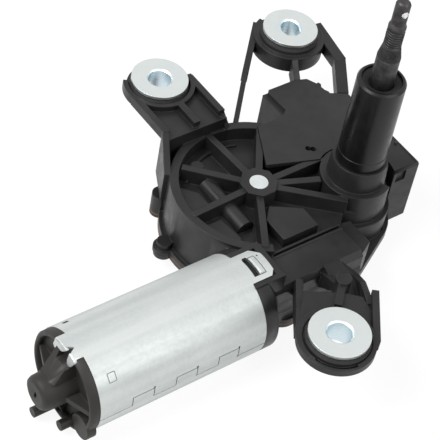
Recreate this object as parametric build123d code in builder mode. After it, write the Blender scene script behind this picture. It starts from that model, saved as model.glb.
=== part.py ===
from build123d import *
import os
from math import acos, atan2, cos, degrees, pi, radians, sin, sqrt, tan

# Rear window wiper motor. Millimetres, +Z up along the wiper spindle.
# The origin is the spindle axis in the plane of the three mounting sleeves' top faces.
# +X runs along the motor shaft, from the end cap towards the gear housing.

# ---- mounting points (plan) and their sleeves
LEFT_MOUNT = (-51.8, 82.3)
FRONT_MOUNT = (-70.4, -74.8)
TOP_MOUNT = (23.8, 83.6)
SLEEVE_FLANGE_R = 13.0
SLEEVE_FLANGE_THICKNESS = 1.5
SLEEVE_TUBE_R = 6.8
SLEEVE_BORE_R = 5.25
SLOT_SLEEVE_WIDTH = 8.4
SLOT_SLEEVE_LENGTH = 10.6
SLEEVE_LENGTH = 11.4
SLEEVE_LEAD_IN = 0.7
LOWER_WASHER_R = 12.0
LOWER_WASHER_THICKNESS = 1.5
GROMMET_FLANGE_R = 13.8
GROMMET_GROOVE_R = 9.2
GROMMET_EDGE = 1.0
FORK_PLATE_TOP = -4.8
FORK_PLATE_THICKNESS = 2.6
CUP_CLEARANCE = 0.4
CUP_WALL = 2.2
TOP_CUP_WALL = 2.8
TOP_CUP_BOTTOM = -12.6

# ---- worm gear pair
MODULE = 1.25
GEAR_TEETH = 56
PRESSURE_ANGLE = 20.0
WORM_PITCH_R = 5.5
BACKLASH = 0.30
GEAR_AXIS = (-42.8, 15.5)
WORM_Z = -28.0
WORM_TURNS = 4.5
GEAR_FACE = 9.0
GEAR_RIM_THICKNESS = 4.0
GEAR_WEB_THICKNESS = 3.0
GEAR_HUB_R = 8.2
GEAR_AXLE_R = 4.2
CONTACT_RING_R = 28.0
CONTACT_RING_INNER_R = 14.0
CONTACT_RING_THICKNESS = 0.5
RUNNING_CLEARANCE = 0.05

# ---- motor
CAN_R = 22.4
CAN_WALL = 1.6
CAN_LENGTH = 81.4
CAN_FRONT_X = -82.0
SHAFT_R = 4.0
SHAFT_TAIL_R = 3.0
SHAFT_REAR_X = -171.5
REAR_BEARING_R = 6.0
REAR_BEARING_LENGTH = 8.0
CORE_LENGTH = 34.0
CORE_SLOTS = 12
MAGNET_LENGTH = 42.0
MAGNET_THICKNESS = 5.6
MAGNET_SPAN = 128.0
AIR_GAP = 0.8
COMMUTATOR_R = 8.5
COMMUTATOR_X = -101.0
COMMUTATOR_LENGTH = 11.0
BRUSH_WIDTH = 5.0
BRUSH_DEPTH = 6.0
BRUSH_LENGTH = 8.0
TONGUE_WIDTH = 16.0
TONGUE_LENGTH = 12.0
CAP_RIM_LENGTH = 4.1
CAP_BOSS_R = 8.0
CAP_BOSS_END_X = -180.0
CAP_FLOOR = 1.0
CAP_RIM_WALL = 2.8
CAP_PEG_R = 2.3
CAP_PEGS = [(3.5, 2.2, 13.4), (-8.0, 3.2, 7.9)]
CAP_LOBE_ANGLE = 217.0
CAP_LOBE_R = 5.8
CRIMP_START = 80.0
CRIMP_SWEEP = 27.0
CRIMP_INNER_R = 15.0
CRIMP_NOTCH = [(3.0, -1.4), (-1.0, -4.0), (-1.0, 1.2)]
CRIMP_THICKNESS = 1.2
CRIMP_GAP = 0.15
SLOT_MOUTH = 1.6
SLOT_WIDTH = 3.0
SLOT_DEPTH = 4.8
SLOT_CAP = 1.8
COIL_HEAD_LENGTH = 6.0
COMMUTATOR_RISER = 2.5
RISER_GAP = 0.5
BRUSH_SETBACK = 2.5
END_FLOAT = 0.1

# ---- spindle and its neck
SPINDLE_R = 5.15
THREAD_R = 4.0
TIP_R = 3.25
NECK_R = 11.2
NECK_TOP = 46.0
NECK_TOP_R = 10.8
SPINDLE_BUSH_R = 7.4
NECK_STRAIGHT_TOP = 5.2
NECK_STEP = 0.2
LOWER_BUSH_TOP = -10.0
UPPER_BUSH_BOTTOM = 28.0
UPPER_BUSH_TOP = 40.0
RETAINER_INNER_R = 4.5
RETAINER_R = 7.0
RETAINER_THICKNESS = 1.0
SEAL_R = 9.0
SEAL_SEAT = 42.0
KNURL_BOTTOM = 59.0
KNURL_TOP = 65.0
THREAD_TOP = 74.4
TIP_SHOULDER = 77.4
SPINDLE_TOP = 88.5
TIP_HOLE_R = 1.5
TIP_HOLE_Z = 82.5

# ---- crank linkage
CRANK_RADIUS = 7.7
LEVER_LENGTH = 11.0
CRANK_PIN_R = 2.4
LEVER_PIN_R = 2.4
LINK_THICKNESS = 2.2
LINK_WIDTH = 7.0
LEVER_THICKNESS = 2.8
LEVER_LINK_GAP = 0.8
LINKAGE_GAP = 0.4
AXLE_RING_R = 4.9
AXLE_GROOVE_R = 3.6

# ---- gear housing outline
CUP_GAP = 0.75
FOOT_LIP = 1.8
TOWER_R = 14.3
TOWER_TOP_R = 12.4
COLLAR_R = 16.3
COLLAR_WIDTH = 3.4
COLLAR_TOP = -10.5
BAY_R = 18.4
BAY_FOOT_R = 20.5
BAY_ROOF = 5.7
TUNNEL_R = 12.2
TUNNEL_FRONT = 11.5
TUNNEL_CREST = -15.5
TUNNEL_START_X = -72.0
TUNNEL_STEP_X = -23.0
END_BLOCK_TOP = -20.0
TUNNEL_END_X = -13.5
SHROUD_LENGTH = 6.5
SHROUD_CONE_LENGTH = 7.5
SPIGOT_LENGTH = 3.0
SPIGOT_WALL = 2.0
BOSS_R = 4.3
BOSS_TOP = -30.5
LOW_BOSS_TOP = -34.6
SCREW_R = 1.5
SCREW_HEAD_R = 3.1
SCREW_HEAD_HEIGHT = 2.0
SCREW_REACH = 4.6
BEARING_R = 8.0
BEARING_END_X = -71.0
END_BUSH_R = 5.2
END_BUSH_X = -31.5
SHAFT_END_X = -20.5
PAD_THICKNESS = 2.5
NECK_SPIGOT_R = 9.0
NECK_SPIGOT_BOTTOM = -8.0
BOX_LEFT_X = -6.0
BOX_RIGHT_X = 29.5
BOX_TOP_Y = 62.0
TRAY_Y = 44.5
CONNECTOR_Y = 13.0
CONNECTOR_FRONT_Y = -8.0
CONNECTOR_BOTTOM = -46.0
CONNECTOR_TOP = -11.5
CONNECTOR_WALL = 1.8
SOCKET_DEPTH = 9.5

# ---- gear housing levels and walls
HUB_TOP = -10.2
RIM_TOP = -11.8
FLOOR_TOP = -19.0
FLOOR_THICKNESS = 2.2
FOOT_Z = -40.0
FOOT_THICKNESS = 2.5
HOUSING_WALL = 2.2
RIB_WIDTH = 3.2
GASKET_THICKNESS = 0.8
COVER_THICKNESS = 1.6
ELECTRONICS_TOP = -11.0
ELECTRONICS_COVER_THICKNESS = 2.0
BOARD_THICKNESS = 1.6

# ---- derived gear geometry
GEAR_PITCH_R = MODULE * GEAR_TEETH / 2
GEAR_TIP_R = GEAR_PITCH_R + MODULE
GEAR_ROOT_R = GEAR_PITCH_R - 1.25 * MODULE
WORM_PITCH = pi * MODULE
WORM_START_X = GEAR_AXIS[0] - WORM_TURNS * WORM_PITCH / 2
WORM_TIP_R = WORM_PITCH_R + MODULE
WORM_ROOT_R = WORM_PITCH_R - 1.2 * MODULE
WORM_Y = GEAR_AXIS[1] - GEAR_PITCH_R - WORM_PITCH_R
LEAD_ANGLE = degrees(atan2(WORM_PITCH, 2 * pi * WORM_PITCH_R))
GEAR_BOTTOM = WORM_Z - GEAR_FACE / 2
GEAR_TOP = WORM_Z + GEAR_FACE / 2

# ---- derived motor sizes
CAN_BORE_R = CAN_R - CAN_WALL
CAN_REAR_X = CAN_FRONT_X - CAN_LENGTH
CRIMP_REACH = CAP_RIM_LENGTH
CAP_RIM_BORE_R = CAN_R - CAP_RIM_WALL
MAGNET_R = CAN_BORE_R - MAGNET_THICKNESS
CORE_R = MAGNET_R - AIR_GAP
SLOT_MIDDLE_R = CORE_R - SLOT_CAP - SLOT_DEPTH / 2
CORE_REAR_X = COMMUTATOR_X - COMMUTATOR_RISER - RISER_GAP - COIL_HEAD_LENGTH - CORE_LENGTH
BRUSH_X = COMMUTATOR_X + BRUSH_SETBACK
RETAINER_GROOVE = UPPER_BUSH_TOP + 0.2

# ---- derived planes and axes
SHAFT_PLANE = Plane(origin=(0, WORM_Y, WORM_Z), x_dir=(1, 0, 0), z_dir=(0, -1, 0))
SHAFT_AXIS = Axis((0, WORM_Y, WORM_Z), (1, 0, 0))


def save(piece, name):
    """Labels a finished piece and writes it under its own name."""
    piece.part.label = name
    export_step(piece.part, f"parts/{name}.step")


def turn(profile, plane, axis, mode=Mode.ADD):
    """Revolves a closed outline of points about an axis that lies in its plane."""
    with BuildSketch(plane) as half_section:
        with BuildLine():
            Polyline(*profile, close=True)
        make_face()
    revolve(half_section.sketch, axis=axis, mode=mode)


def turn_on_shaft(profile, mode=Mode.ADD):
    """Revolves (x, radius) points about the motor shaft."""
    turn(profile, SHAFT_PLANE, SHAFT_AXIS, mode)


def turn_upright(centre, profile, mode=Mode.ADD):
    """Revolves (radius, z) points about an upright axis through a plan point."""
    plane = Plane(origin=(centre[0], centre[1], 0), x_dir=(1, 0, 0), z_dir=(0, -1, 0))
    turn(profile, plane, Axis((centre[0], centre[1], 0), (0, 0, 1)), mode)


def raise_outline(points, bottom, top, mode=Mode.ADD):
    """Extrudes a closed plan outline between two levels."""
    with BuildSketch(Plane.XY.offset(bottom)) as outline:
        with BuildLine():
            Polyline(*points, close=True)
        make_face()
    extrude(outline.sketch, amount=top - bottom, mode=mode)


def raise_disc(centre, radius, bottom, top, mode=Mode.ADD):
    """Extrudes a round between two levels."""
    with BuildSketch(Plane.XY.offset(bottom)) as disc:
        with Locations(centre):
            Circle(radius)
    extrude(disc.sketch, amount=top - bottom, mode=mode)


def raise_wall(points, width, bottom, top, mode=Mode.ADD):
    """Stands a wall of even width along a plan line."""
    with BuildSketch(Plane.XY.offset(bottom)) as strip:
        with BuildLine():
            Polyline(*points)
        trace(line_width=width)
    extrude(strip.sketch, amount=top - bottom, mode=mode)


def raise_arc(centre, radius, width, start, sweep, bottom, top, mode=Mode.ADD):
    """Stands a wall of even width along an arc."""
    with BuildSketch(Plane.XY.offset(bottom)) as band:
        with BuildLine():
            CenterArc(centre, radius, start, sweep)
        trace(line_width=width)
    extrude(band.sketch, amount=top - bottom, mode=mode)


def along_shaft(x):
    """Plane across the motor shaft, its own x towards +Y and its own y upwards."""
    return Plane(origin=(x, WORM_Y, WORM_Z), x_dir=(0, 1, 0), z_dir=(1, 0, 0))


def polar(centre, radius, angle):
    """Plan point at a radius and an angle in degrees from a centre."""
    return (centre[0] + radius * cos(radians(angle)), centre[1] + radius * sin(radians(angle)))


# ---- derived linkage geometry: the crank stands in line with the link, at the park position
CENTRE_DISTANCE = sqrt(GEAR_AXIS[0] ** 2 + GEAR_AXIS[1] ** 2)
LINK_LENGTH = sqrt(CENTRE_DISTANCE**2 + LEVER_LENGTH**2)
PARK_REACH = LINK_LENGTH + CRANK_RADIUS
GEAR_DIRECTION = degrees(atan2(GEAR_AXIS[1], GEAR_AXIS[0]))


def lever_angle(reach):
    """Lever angle from the line of centres when the crank and link add up to a reach."""
    cosine = CENTRE_DISTANCE**2 + LEVER_LENGTH**2 - reach**2
    return degrees(acos(cosine / (2 * CENTRE_DISTANCE * LEVER_LENGTH)))


PARK_LEVER_ANGLE = GEAR_DIRECTION - lever_angle(PARK_REACH)
LEVER_PIN = polar((0, 0), LEVER_LENGTH, PARK_LEVER_ANGLE)
LINK_DIRECTION = degrees(atan2(LEVER_PIN[1] - GEAR_AXIS[1], LEVER_PIN[0] - GEAR_AXIS[0]))
CRANK_PIN = polar(GEAR_AXIS, CRANK_RADIUS, LINK_DIRECTION)
LINK_SWEEP_CENTRE = polar(LEVER_PIN, CRANK_RADIUS, LINK_DIRECTION + 180)
LEVER_SWING = lever_angle(PARK_REACH) - lever_angle(LINK_LENGTH - CRANK_RADIUS)

# ---- derived levels of the linkage, stacked under the gear
GEAR_HUB_BOTTOM = GEAR_BOTTOM - 0.4
CRANK_PIN_TOP = GEAR_TOP - GEAR_WEB_THICKNESS
AXLE_RING_THICKNESS = 1.0
AXLE_BOTTOM = GEAR_HUB_BOTTOM - AXLE_RING_THICKNESS - 0.2
SWEEP_GAP = 0.5
LEVER_TOP = GEAR_BOTTOM - SWEEP_GAP
LEVER_BOTTOM = LEVER_TOP - LEVER_THICKNESS
LINK_TOP = LEVER_BOTTOM - LEVER_LINK_GAP
LINK_BOTTOM = LINK_TOP - LINK_THICKNESS
LINK_CRANK_EYE_R = 4.6
LINK_LEVER_EYE_R = 4.2
LEVER_EYE_R = 4.2
LEVER_BOSS_R = 8.0

# ---- derived housing sizes
CAVITY_R = GEAR_TIP_R + CUP_GAP
CUP_R = CAVITY_R + HOUSING_WALL
FOOT_R = CUP_R + FOOT_LIP
FLOOR_BOTTOM = FLOOR_TOP - FLOOR_THICKNESS
COVER_TOP = FOOT_Z - GASKET_THICKNESS
COVER_BOTTOM = COVER_TOP - COVER_THICKNESS
TRAY_TOP = ELECTRONICS_TOP - ELECTRONICS_COVER_THICKNESS
BAY_TOP = LEVER_TOP + SWEEP_GAP + BAY_ROOF
CUP_INNER_R = GROMMET_FLANGE_R + CUP_CLEARANCE
COVER_FIT = 0.15
GASKET_LAND = 7.0
CHAMBER_NOTCH_R = BAY_R + 2.4
COVER_NOTCH_R = COLLAR_R + 0.9
BOARD_TOP = TRAY_TOP - 1.4
BOARD_BOTTOM = BOARD_TOP - BOARD_THICKNESS
BOARD_POSTS = [(-8, 40), (2, 22), (25, 18), (0, 57)]
FORK_SLOT_R = GROMMET_GROOVE_R + 0.1
FORK_PLATE_BOTTOM = FORK_PLATE_TOP - FORK_PLATE_THICKNESS

TUNNEL_FOOT = [((-30, WORM_Y - 4.5), 8.5), ((-59, WORM_Y - 4.5), 8.5)]

COVER_SCREWS = [
    polar(GEAR_AXIS, FOOT_R + 0.3, 134.6),
    polar(GEAR_AXIS, FOOT_R + 1.2, 169.5),
    polar((0, 0), BAY_R - 1.2, -59.0),
    (BOX_LEFT_X + 4.5, BOX_TOP_Y - 4.5),
    (BOX_RIGHT_X - 4.5, 38.0),
    (-23.0, WORM_Y - 6.5),
    (-59.0, WORM_Y - 9.0),
]


def electronics_outline():
    """Plan of the electronics box, beside the gear cup."""
    with BuildLine() as edge:
        Polyline(
            (BOX_LEFT_X, 30),
            (BOX_LEFT_X, BOX_TOP_Y),
            (15.5, BOX_TOP_Y),
            (20.5, BOX_TOP_Y - 6),
            (21.5, TRAY_Y + 2.5),
            (BOX_RIGHT_X, TRAY_Y - 2),
            (BOX_RIGHT_X, CONNECTOR_Y),
            (8, CONNECTOR_Y),
            close=True,
        )
    make_face(edge.edges())


def tray_outline():
    """Plan of the shallow tray between the gear hub and the electronics box."""
    with BuildLine() as edge:
        Polyline(
            (-31.5, 23.5),
            (-19.8, TRAY_Y),
            (BOX_LEFT_X + 3, TRAY_Y),
            (10, CONNECTOR_Y),
            (-7, 17.2),
            close=True,
        )
    make_face(edge.edges())


def electronics_cover_outline(gap):
    """Plan of the flat electronics cover, with a round notch about the spindle tower."""
    with BuildLine() as edge:
        Polyline(
            (-9, 14.7),
            (-33, 23),
            (-22, TRAY_Y),
            (-8, TRAY_Y),
            (BOX_LEFT_X, TRAY_Y + 2),
            (BOX_LEFT_X, BOX_TOP_Y - 3),
            (BOX_LEFT_X + 3, BOX_TOP_Y),
            (12, BOX_TOP_Y),
            (18, BOX_TOP_Y - 2),
            (20.5, BOX_TOP_Y - 7),
            (21.5, TRAY_Y + 3),
            (BOX_RIGHT_X, TRAY_Y - 1.5),
            (BOX_RIGHT_X, CONNECTOR_Y + 1),
            (8, CONNECTOR_Y + 1),
            close=True,
        )
    make_face(edge.edges())
    if gap:
        offset(amount=gap, kind=Kind.INTERSECTION, mode=Mode.REPLACE)
    Circle(COVER_NOTCH_R - gap, mode=Mode.SUBTRACT)


def belt(first, first_r, second, second_r):
    """Fills the outline of a belt round two circles."""
    span = Vector(second[0] - first[0], second[1] - first[1], 0)
    heading = degrees(atan2(span.Y, span.X))
    lean = degrees(acos((first_r - second_r) / span.length))
    ends = [polar(first, first_r, heading + lean), polar(second, second_r, heading + lean)]
    ends += [polar(second, second_r, heading - lean), polar(first, first_r, heading - lean)]
    with BuildLine() as edge:
        Line(ends[0], ends[1])
        ThreePointArc(ends[1], polar(second, second_r, heading), ends[2])
        Line(ends[2], ends[3])
        ThreePointArc(ends[3], polar(first, first_r, heading + 180), ends[0])
    make_face(edge.edges())


def foot_outline():
    """Plan shared by the housing foot, the gasket and the rear cover."""
    corners = [(GEAR_AXIS, FOOT_R), ((0, 0), BAY_FOOT_R), *TUNNEL_FOOT]
    for (first, first_r), (second, second_r) in zip(corners, corners[1:] + corners[:1]):
        belt(first, first_r, second, second_r)
    with BuildLine() as middle:
        Polyline(*[centre for centre, radius in corners], close=True)
    make_face(middle.edges())
    electronics_outline()
    with Locations(COVER_SCREWS[0], COVER_SCREWS[1]):
        Circle(BOSS_R)


def linkage_bay_outline(gap):
    """Plan swept by the link and the lever, with a gap all round."""
    lever_end_r = CRANK_RADIUS + LINK_LEVER_EYE_R + gap
    crank_end_r = CRANK_RADIUS + LINK_CRANK_EYE_R + gap
    belt(LINK_SWEEP_CENTRE, lever_end_r, GEAR_AXIS, crank_end_r)
    with Locations((0, 0)):
        Circle(LEVER_BOSS_R + gap)
    swing_start = PARK_LEVER_ANGLE - 25
    swing_end = swing_start + LEVER_SWING + 50
    reach = LEVER_LENGTH + LEVER_EYE_R + gap
    with BuildLine() as sector:
        CenterArc((0, 0), reach, swing_start, LEVER_SWING + 50)
        Line((0, 0), polar((0, 0), reach, swing_start))
        Line((0, 0), polar((0, 0), reach, swing_end))
    make_face(sector.edges())


def slope_wall(start, end, width, bottoms, tops):
    """Stands a wall between two plan points, its edges sloping from the first level to the second."""
    run = Vector(end[0] - start[0], end[1] - start[1], 0)
    plane = Plane(origin=(*start, 0), x_dir=run, z_dir=(run.Y, -run.X, 0))
    with BuildSketch(plane) as side:
        with BuildLine():
            Polyline(
                (0, bottoms[0]),
                (run.length, bottoms[1]),
                (run.length, tops[1]),
                (0, tops[0]),
                close=True,
            )
        make_face()
    extrude(side.sketch, amount=width / 2, both=True)


def mount_cup(centre, wall, levels, arc_start, arc_sweep, opening=None, shift=(0, 0)):
    """A ring wall round a grommet, with the fork plate that its groove slides on to."""
    raise_disc(centre, CUP_INNER_R + 0.5, FORK_PLATE_BOTTOM, FORK_PLATE_TOP)
    ring_centre = (centre[0] + shift[0], centre[1] + shift[1])
    raise_arc(ring_centre, CUP_INNER_R + wall / 2, wall, arc_start, arc_sweep, *levels)
    with BuildSketch(Plane.XY.offset(FORK_PLATE_BOTTOM)) as slot:
        with Locations(centre):
            Circle(FORK_SLOT_R)
        if opening is not None:
            with Locations(Location((*polar(centre, CUP_INNER_R / 2 + 2, opening), 0), (0, 0, opening))):
                Rectangle(CUP_INNER_R + 4, 2 * FORK_SLOT_R)
    extrude(slot.sketch, amount=FORK_PLATE_THICKNESS, mode=Mode.SUBTRACT)


def left_arm():
    """Trough-shaped arm to the left mount."""
    x, y = LEFT_MOUNT
    top, floor = -2.5, -5.5
    under = FORK_PLATE_BOTTOM
    raise_outline([(x - 15, y - 10), (x + 15, y - 10), (x + 15, 52.5), (x - 15, 52.5)], under, floor)
    for wall_x in (x - 15, x + 15):
        slope_wall((wall_x, y - 2.5), (wall_x, 54), 3, (under, under), (top, top))
    slope_wall((x + 0.8, y - CUP_INNER_R - 1), (x + 0.8, 53), RIB_WIDTH, (under, under), (top, top))
    slope_wall((x - 15.2, 54.8), (x - 23.5, 39), 3, (-28, -28), (top, RIM_TOP))
    slope_wall((x + 15.2, 55), (x + 17.5, 50.5), 3, (-28, -28), (top, RIM_TOP))
    raise_outline([(x - 16.7, 54.5), (x + 16.5, 54.5), (x + 16.5, 51.5), (x - 16.7, 51.5)], -28, floor)
    mount_cup(LEFT_MOUNT, CUP_WALL, (FORK_PLATE_BOTTOM, top), 148, 206, 66)


def top_arm():
    """Cup of the top mount on two long struts and a short stem."""
    x, y = TOP_MOUNT
    mount_cup(TOP_MOUNT, TOP_CUP_WALL, (TOP_CUP_BOTTOM, -5), 108, 264, 61)
    raise_arc(TOP_MOUNT, CUP_INNER_R + TOP_CUP_WALL / 2, TOP_CUP_WALL, 0, 360, TOP_CUP_BOTTOM, FORK_PLATE_BOTTOM)
    slope_wall((x - 8.6, y + 14.6), (-7.4, 75.0), RIB_WIDTH - 0.2, (-11, -14.5), (-5, -8.4))
    slope_wall((-6.4, 76.0), (-28.6, 52.4), RIB_WIDTH - 0.8, (-14.5, -18), (-8.4, RIM_TOP))
    slope_wall((x + 17.2, y + 1), (x + 13.4, y - 24), 5.5, (-11.5, -12), (-5, -6.2))
    slope_wall((x + 13.8, y - 22.5), (x + 4.0, y - 39), 5.5, (-12, -18), (-6, ELECTRONICS_TOP))
    slope_wall((x - 7.8, y - 15.2), (x - 10.2, y - 23), 3, (-14, -20), (-5, TRAY_TOP))


def front_arm():
    """Bracket of the front mount: a side wall, a floor, a rib with a boss and a free finger."""
    mount_cup(FRONT_MOUNT, CUP_WALL + 0.2, (FORK_PLATE_BOTTOM, -4), 0, 360, shift=(-0.4, 0.2))
    floor = [(-82, -63), (-66, -46.5), (-58, -51.5), (-51.5, -55.5), (-46, -61), (-47, -68), (-58, -82)]
    raise_outline(floor, -9, -6.5)
    raise_disc(FRONT_MOUNT, FORK_SLOT_R, -9.5, -6, Mode.SUBTRACT)
    raise_arc(FRONT_MOUNT, CUP_INNER_R + 0.6, 1.2, 195, 70, FORK_PLATE_TOP - 1.6, -3, Mode.SUBTRACT)
    slope_wall((-81.5, -63.8), (-57.2, -34.8), 3.2, (-10, -24), (-4, TUNNEL_CREST))
    slope_wall((-57.0, -83.6), (-40.5, -62.2), 3, (-10, -10), (-4, -4))
    # rib and round boss between the floor and the tunnel
    slope_wall((-59, -60.5), (-49, -51), RIB_WIDTH, (-9, -12), (-4.5, -5.5))
    slope_wall((-49, -51), (-44, -34), RIB_WIDTH, (-12, -28), (-8, -18))
    raise_disc((-48, -50.4), 3.4, -14, -4.5)
    # curved wall on the far side
    raise_outline([(-49, -52), (-44, -34), (-36, -35), (-37.5, -50), (-44.5, -61), (-47, -60)], -17, -14.5)
    slope_wall((-45.5, -65.5), (-43, -60), 2.6, (-10, -17), (-6.6, -6.2))
    slope_wall((-43.2, -60.6), (-38.8, -53), 2.6, (-17, -17), (-6.2, -9))
    slope_wall((-38.9, -53.4), (-36, -46), 2.6, (-17, -20), (-9, -13))
    slope_wall((-36, -46.6), (-35.4, -34), 2.6, (-20, -30), (-13, -17))


RIB_ENDS = [(-45, 51), (-67, 40), (-79, 14), (-62, -16), (-13, -11), (-16, 5), (-7, 15.5), (-20.6, 44.5)]


def housing_top():
    """Rim, hub, ribs and the moulded details in the pockets between them."""
    raise_arc(GEAR_AXIS, CUP_R - 2, 4, 52, 192, FLOOR_BOTTOM, RIM_TOP)
    with BuildSketch(Plane.XY.offset(FLOOR_BOTTOM)) as hub:
        with Locations(GEAR_AXIS):
            RegularPolygon(GEAR_HUB_R + 0.5, 8, rotation=22.5)
    extrude(hub.sketch, amount=HUB_TOP - FLOOR_BOTTOM)
    for rib_end in RIB_ENDS:
        raise_wall([GEAR_AXIS, rib_end], RIB_WIDTH, FLOOR_BOTTOM, RIM_TOP + 0.4)
    # raised pad, barrel and round boss in the pockets
    raise_outline([(-51, -15), (-32, -15), (-32, -4), (-45, 4), (-51, -2)], FLOOR_BOTTOM, -13.8)
    raise_disc((-58.5, 39.5), 3, FLOOR_BOTTOM, -14.5)
    with BuildSketch(Plane(origin=(-59.5, 0.5, FLOOR_TOP + 1), x_dir=(1, 0, 0), z_dir=(0, 1, 0))) as barrel:
        Circle(4.2)
    extrude(barrel.sketch, amount=30)
    raise_outline([(-77, 30), (-72.5, 34.5), (-66, 27), (-66, 16), (-79, 16)], FLOOR_BOTTOM, -16.5)
    raise_outline([(-80.5, 9.5), (-66.5, 9.5), (-65, -4), (-72.5, -9.5)], FLOOR_BOTTOM, -16.5)
    raise_arc(GEAR_AXIS, 31, 1.2, 72, 68, FLOOR_BOTTOM, -17.6)


def housing_drive_bays():
    """Worm tunnel, motor shroud, spindle tower and its horseshoe collar."""
    shroud_back = CAN_FRONT_X + SHROUD_LENGTH
    turn_on_shaft(
        [
            (CAN_FRONT_X - SPIGOT_LENGTH, CAN_BORE_R - 0.1),
            (CAN_FRONT_X, CAN_BORE_R - 0.1),
            (CAN_FRONT_X, CAN_R),
            (shroud_back, CAN_R),
            (shroud_back + SHROUD_CONE_LENGTH, TUNNEL_R),
            (TUNNEL_STEP_X, TUNNEL_R),
            (TUNNEL_STEP_X, 0),
            (CAN_FRONT_X + 3, 0),
            (CAN_FRONT_X + 3, CAN_BORE_R - 0.1 - SPIGOT_WALL),
            (CAN_FRONT_X - SPIGOT_LENGTH, CAN_BORE_R - 0.1 - SPIGOT_WALL),
        ]
    )
    with BuildSketch(along_shaft(TUNNEL_START_X)) as section:
        with BuildLine():
            Polyline(
                (-TUNNEL_FRONT, FOOT_Z - WORM_Z),
                (TUNNEL_R, FOOT_Z - WORM_Z),
                (TUNNEL_R, 0),
                (4.3, TUNNEL_CREST - WORM_Z),
                (2.0 - TUNNEL_FRONT, TUNNEL_CREST - WORM_Z),
                (-TUNNEL_FRONT, TUNNEL_CREST - WORM_Z - 2.5),
                close=True,
            )
        make_face()
    extrude(section.sketch, amount=TUNNEL_STEP_X - TUNNEL_START_X)
    # block round the shaft's far end, its corner trimmed along the foot's edge
    front_corner = (TUNNEL_STEP_X - 0.5, WORM_Y - TUNNEL_FRONT + 1.2)
    end_corner = (TUNNEL_END_X, front_corner[1] + 0.53 * (TUNNEL_END_X - front_corner[0]))
    back_corners = [(TUNNEL_END_X, WORM_Y + 9), (TUNNEL_STEP_X - 0.5, WORM_Y + 11)]
    raise_outline([front_corner, end_corner, *back_corners], FOOT_Z, END_BLOCK_TOP)
    for ridge_y in (WORM_Y + 4.5, WORM_Y + 6.7):
        raise_wall([(-64, ridge_y), (TUNNEL_STEP_X, ridge_y)], 0.9, -20, TUNNEL_CREST + 0.5)
    # ledge under the can's locking tongue
    ledge_top = WORM_Z + CAN_BORE_R - 0.1
    raise_outline([(CAN_FRONT_X, -35.5), (-66.5, -35.5), (-66.5, -14.5), (CAN_FRONT_X, -14.5)], -20, ledge_top)
    turn_upright(
        (0, 0),
        [(0, BAY_TOP), (TOWER_R, BAY_TOP), (TOWER_TOP_R + 0.6, -3), (TOWER_TOP_R, 0), (0, 0)],
    )
    raise_arc((0, 0), COLLAR_R - COLLAR_WIDTH / 2, COLLAR_WIDTH, 95, 205, BAY_TOP, COLLAR_TOP)


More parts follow.
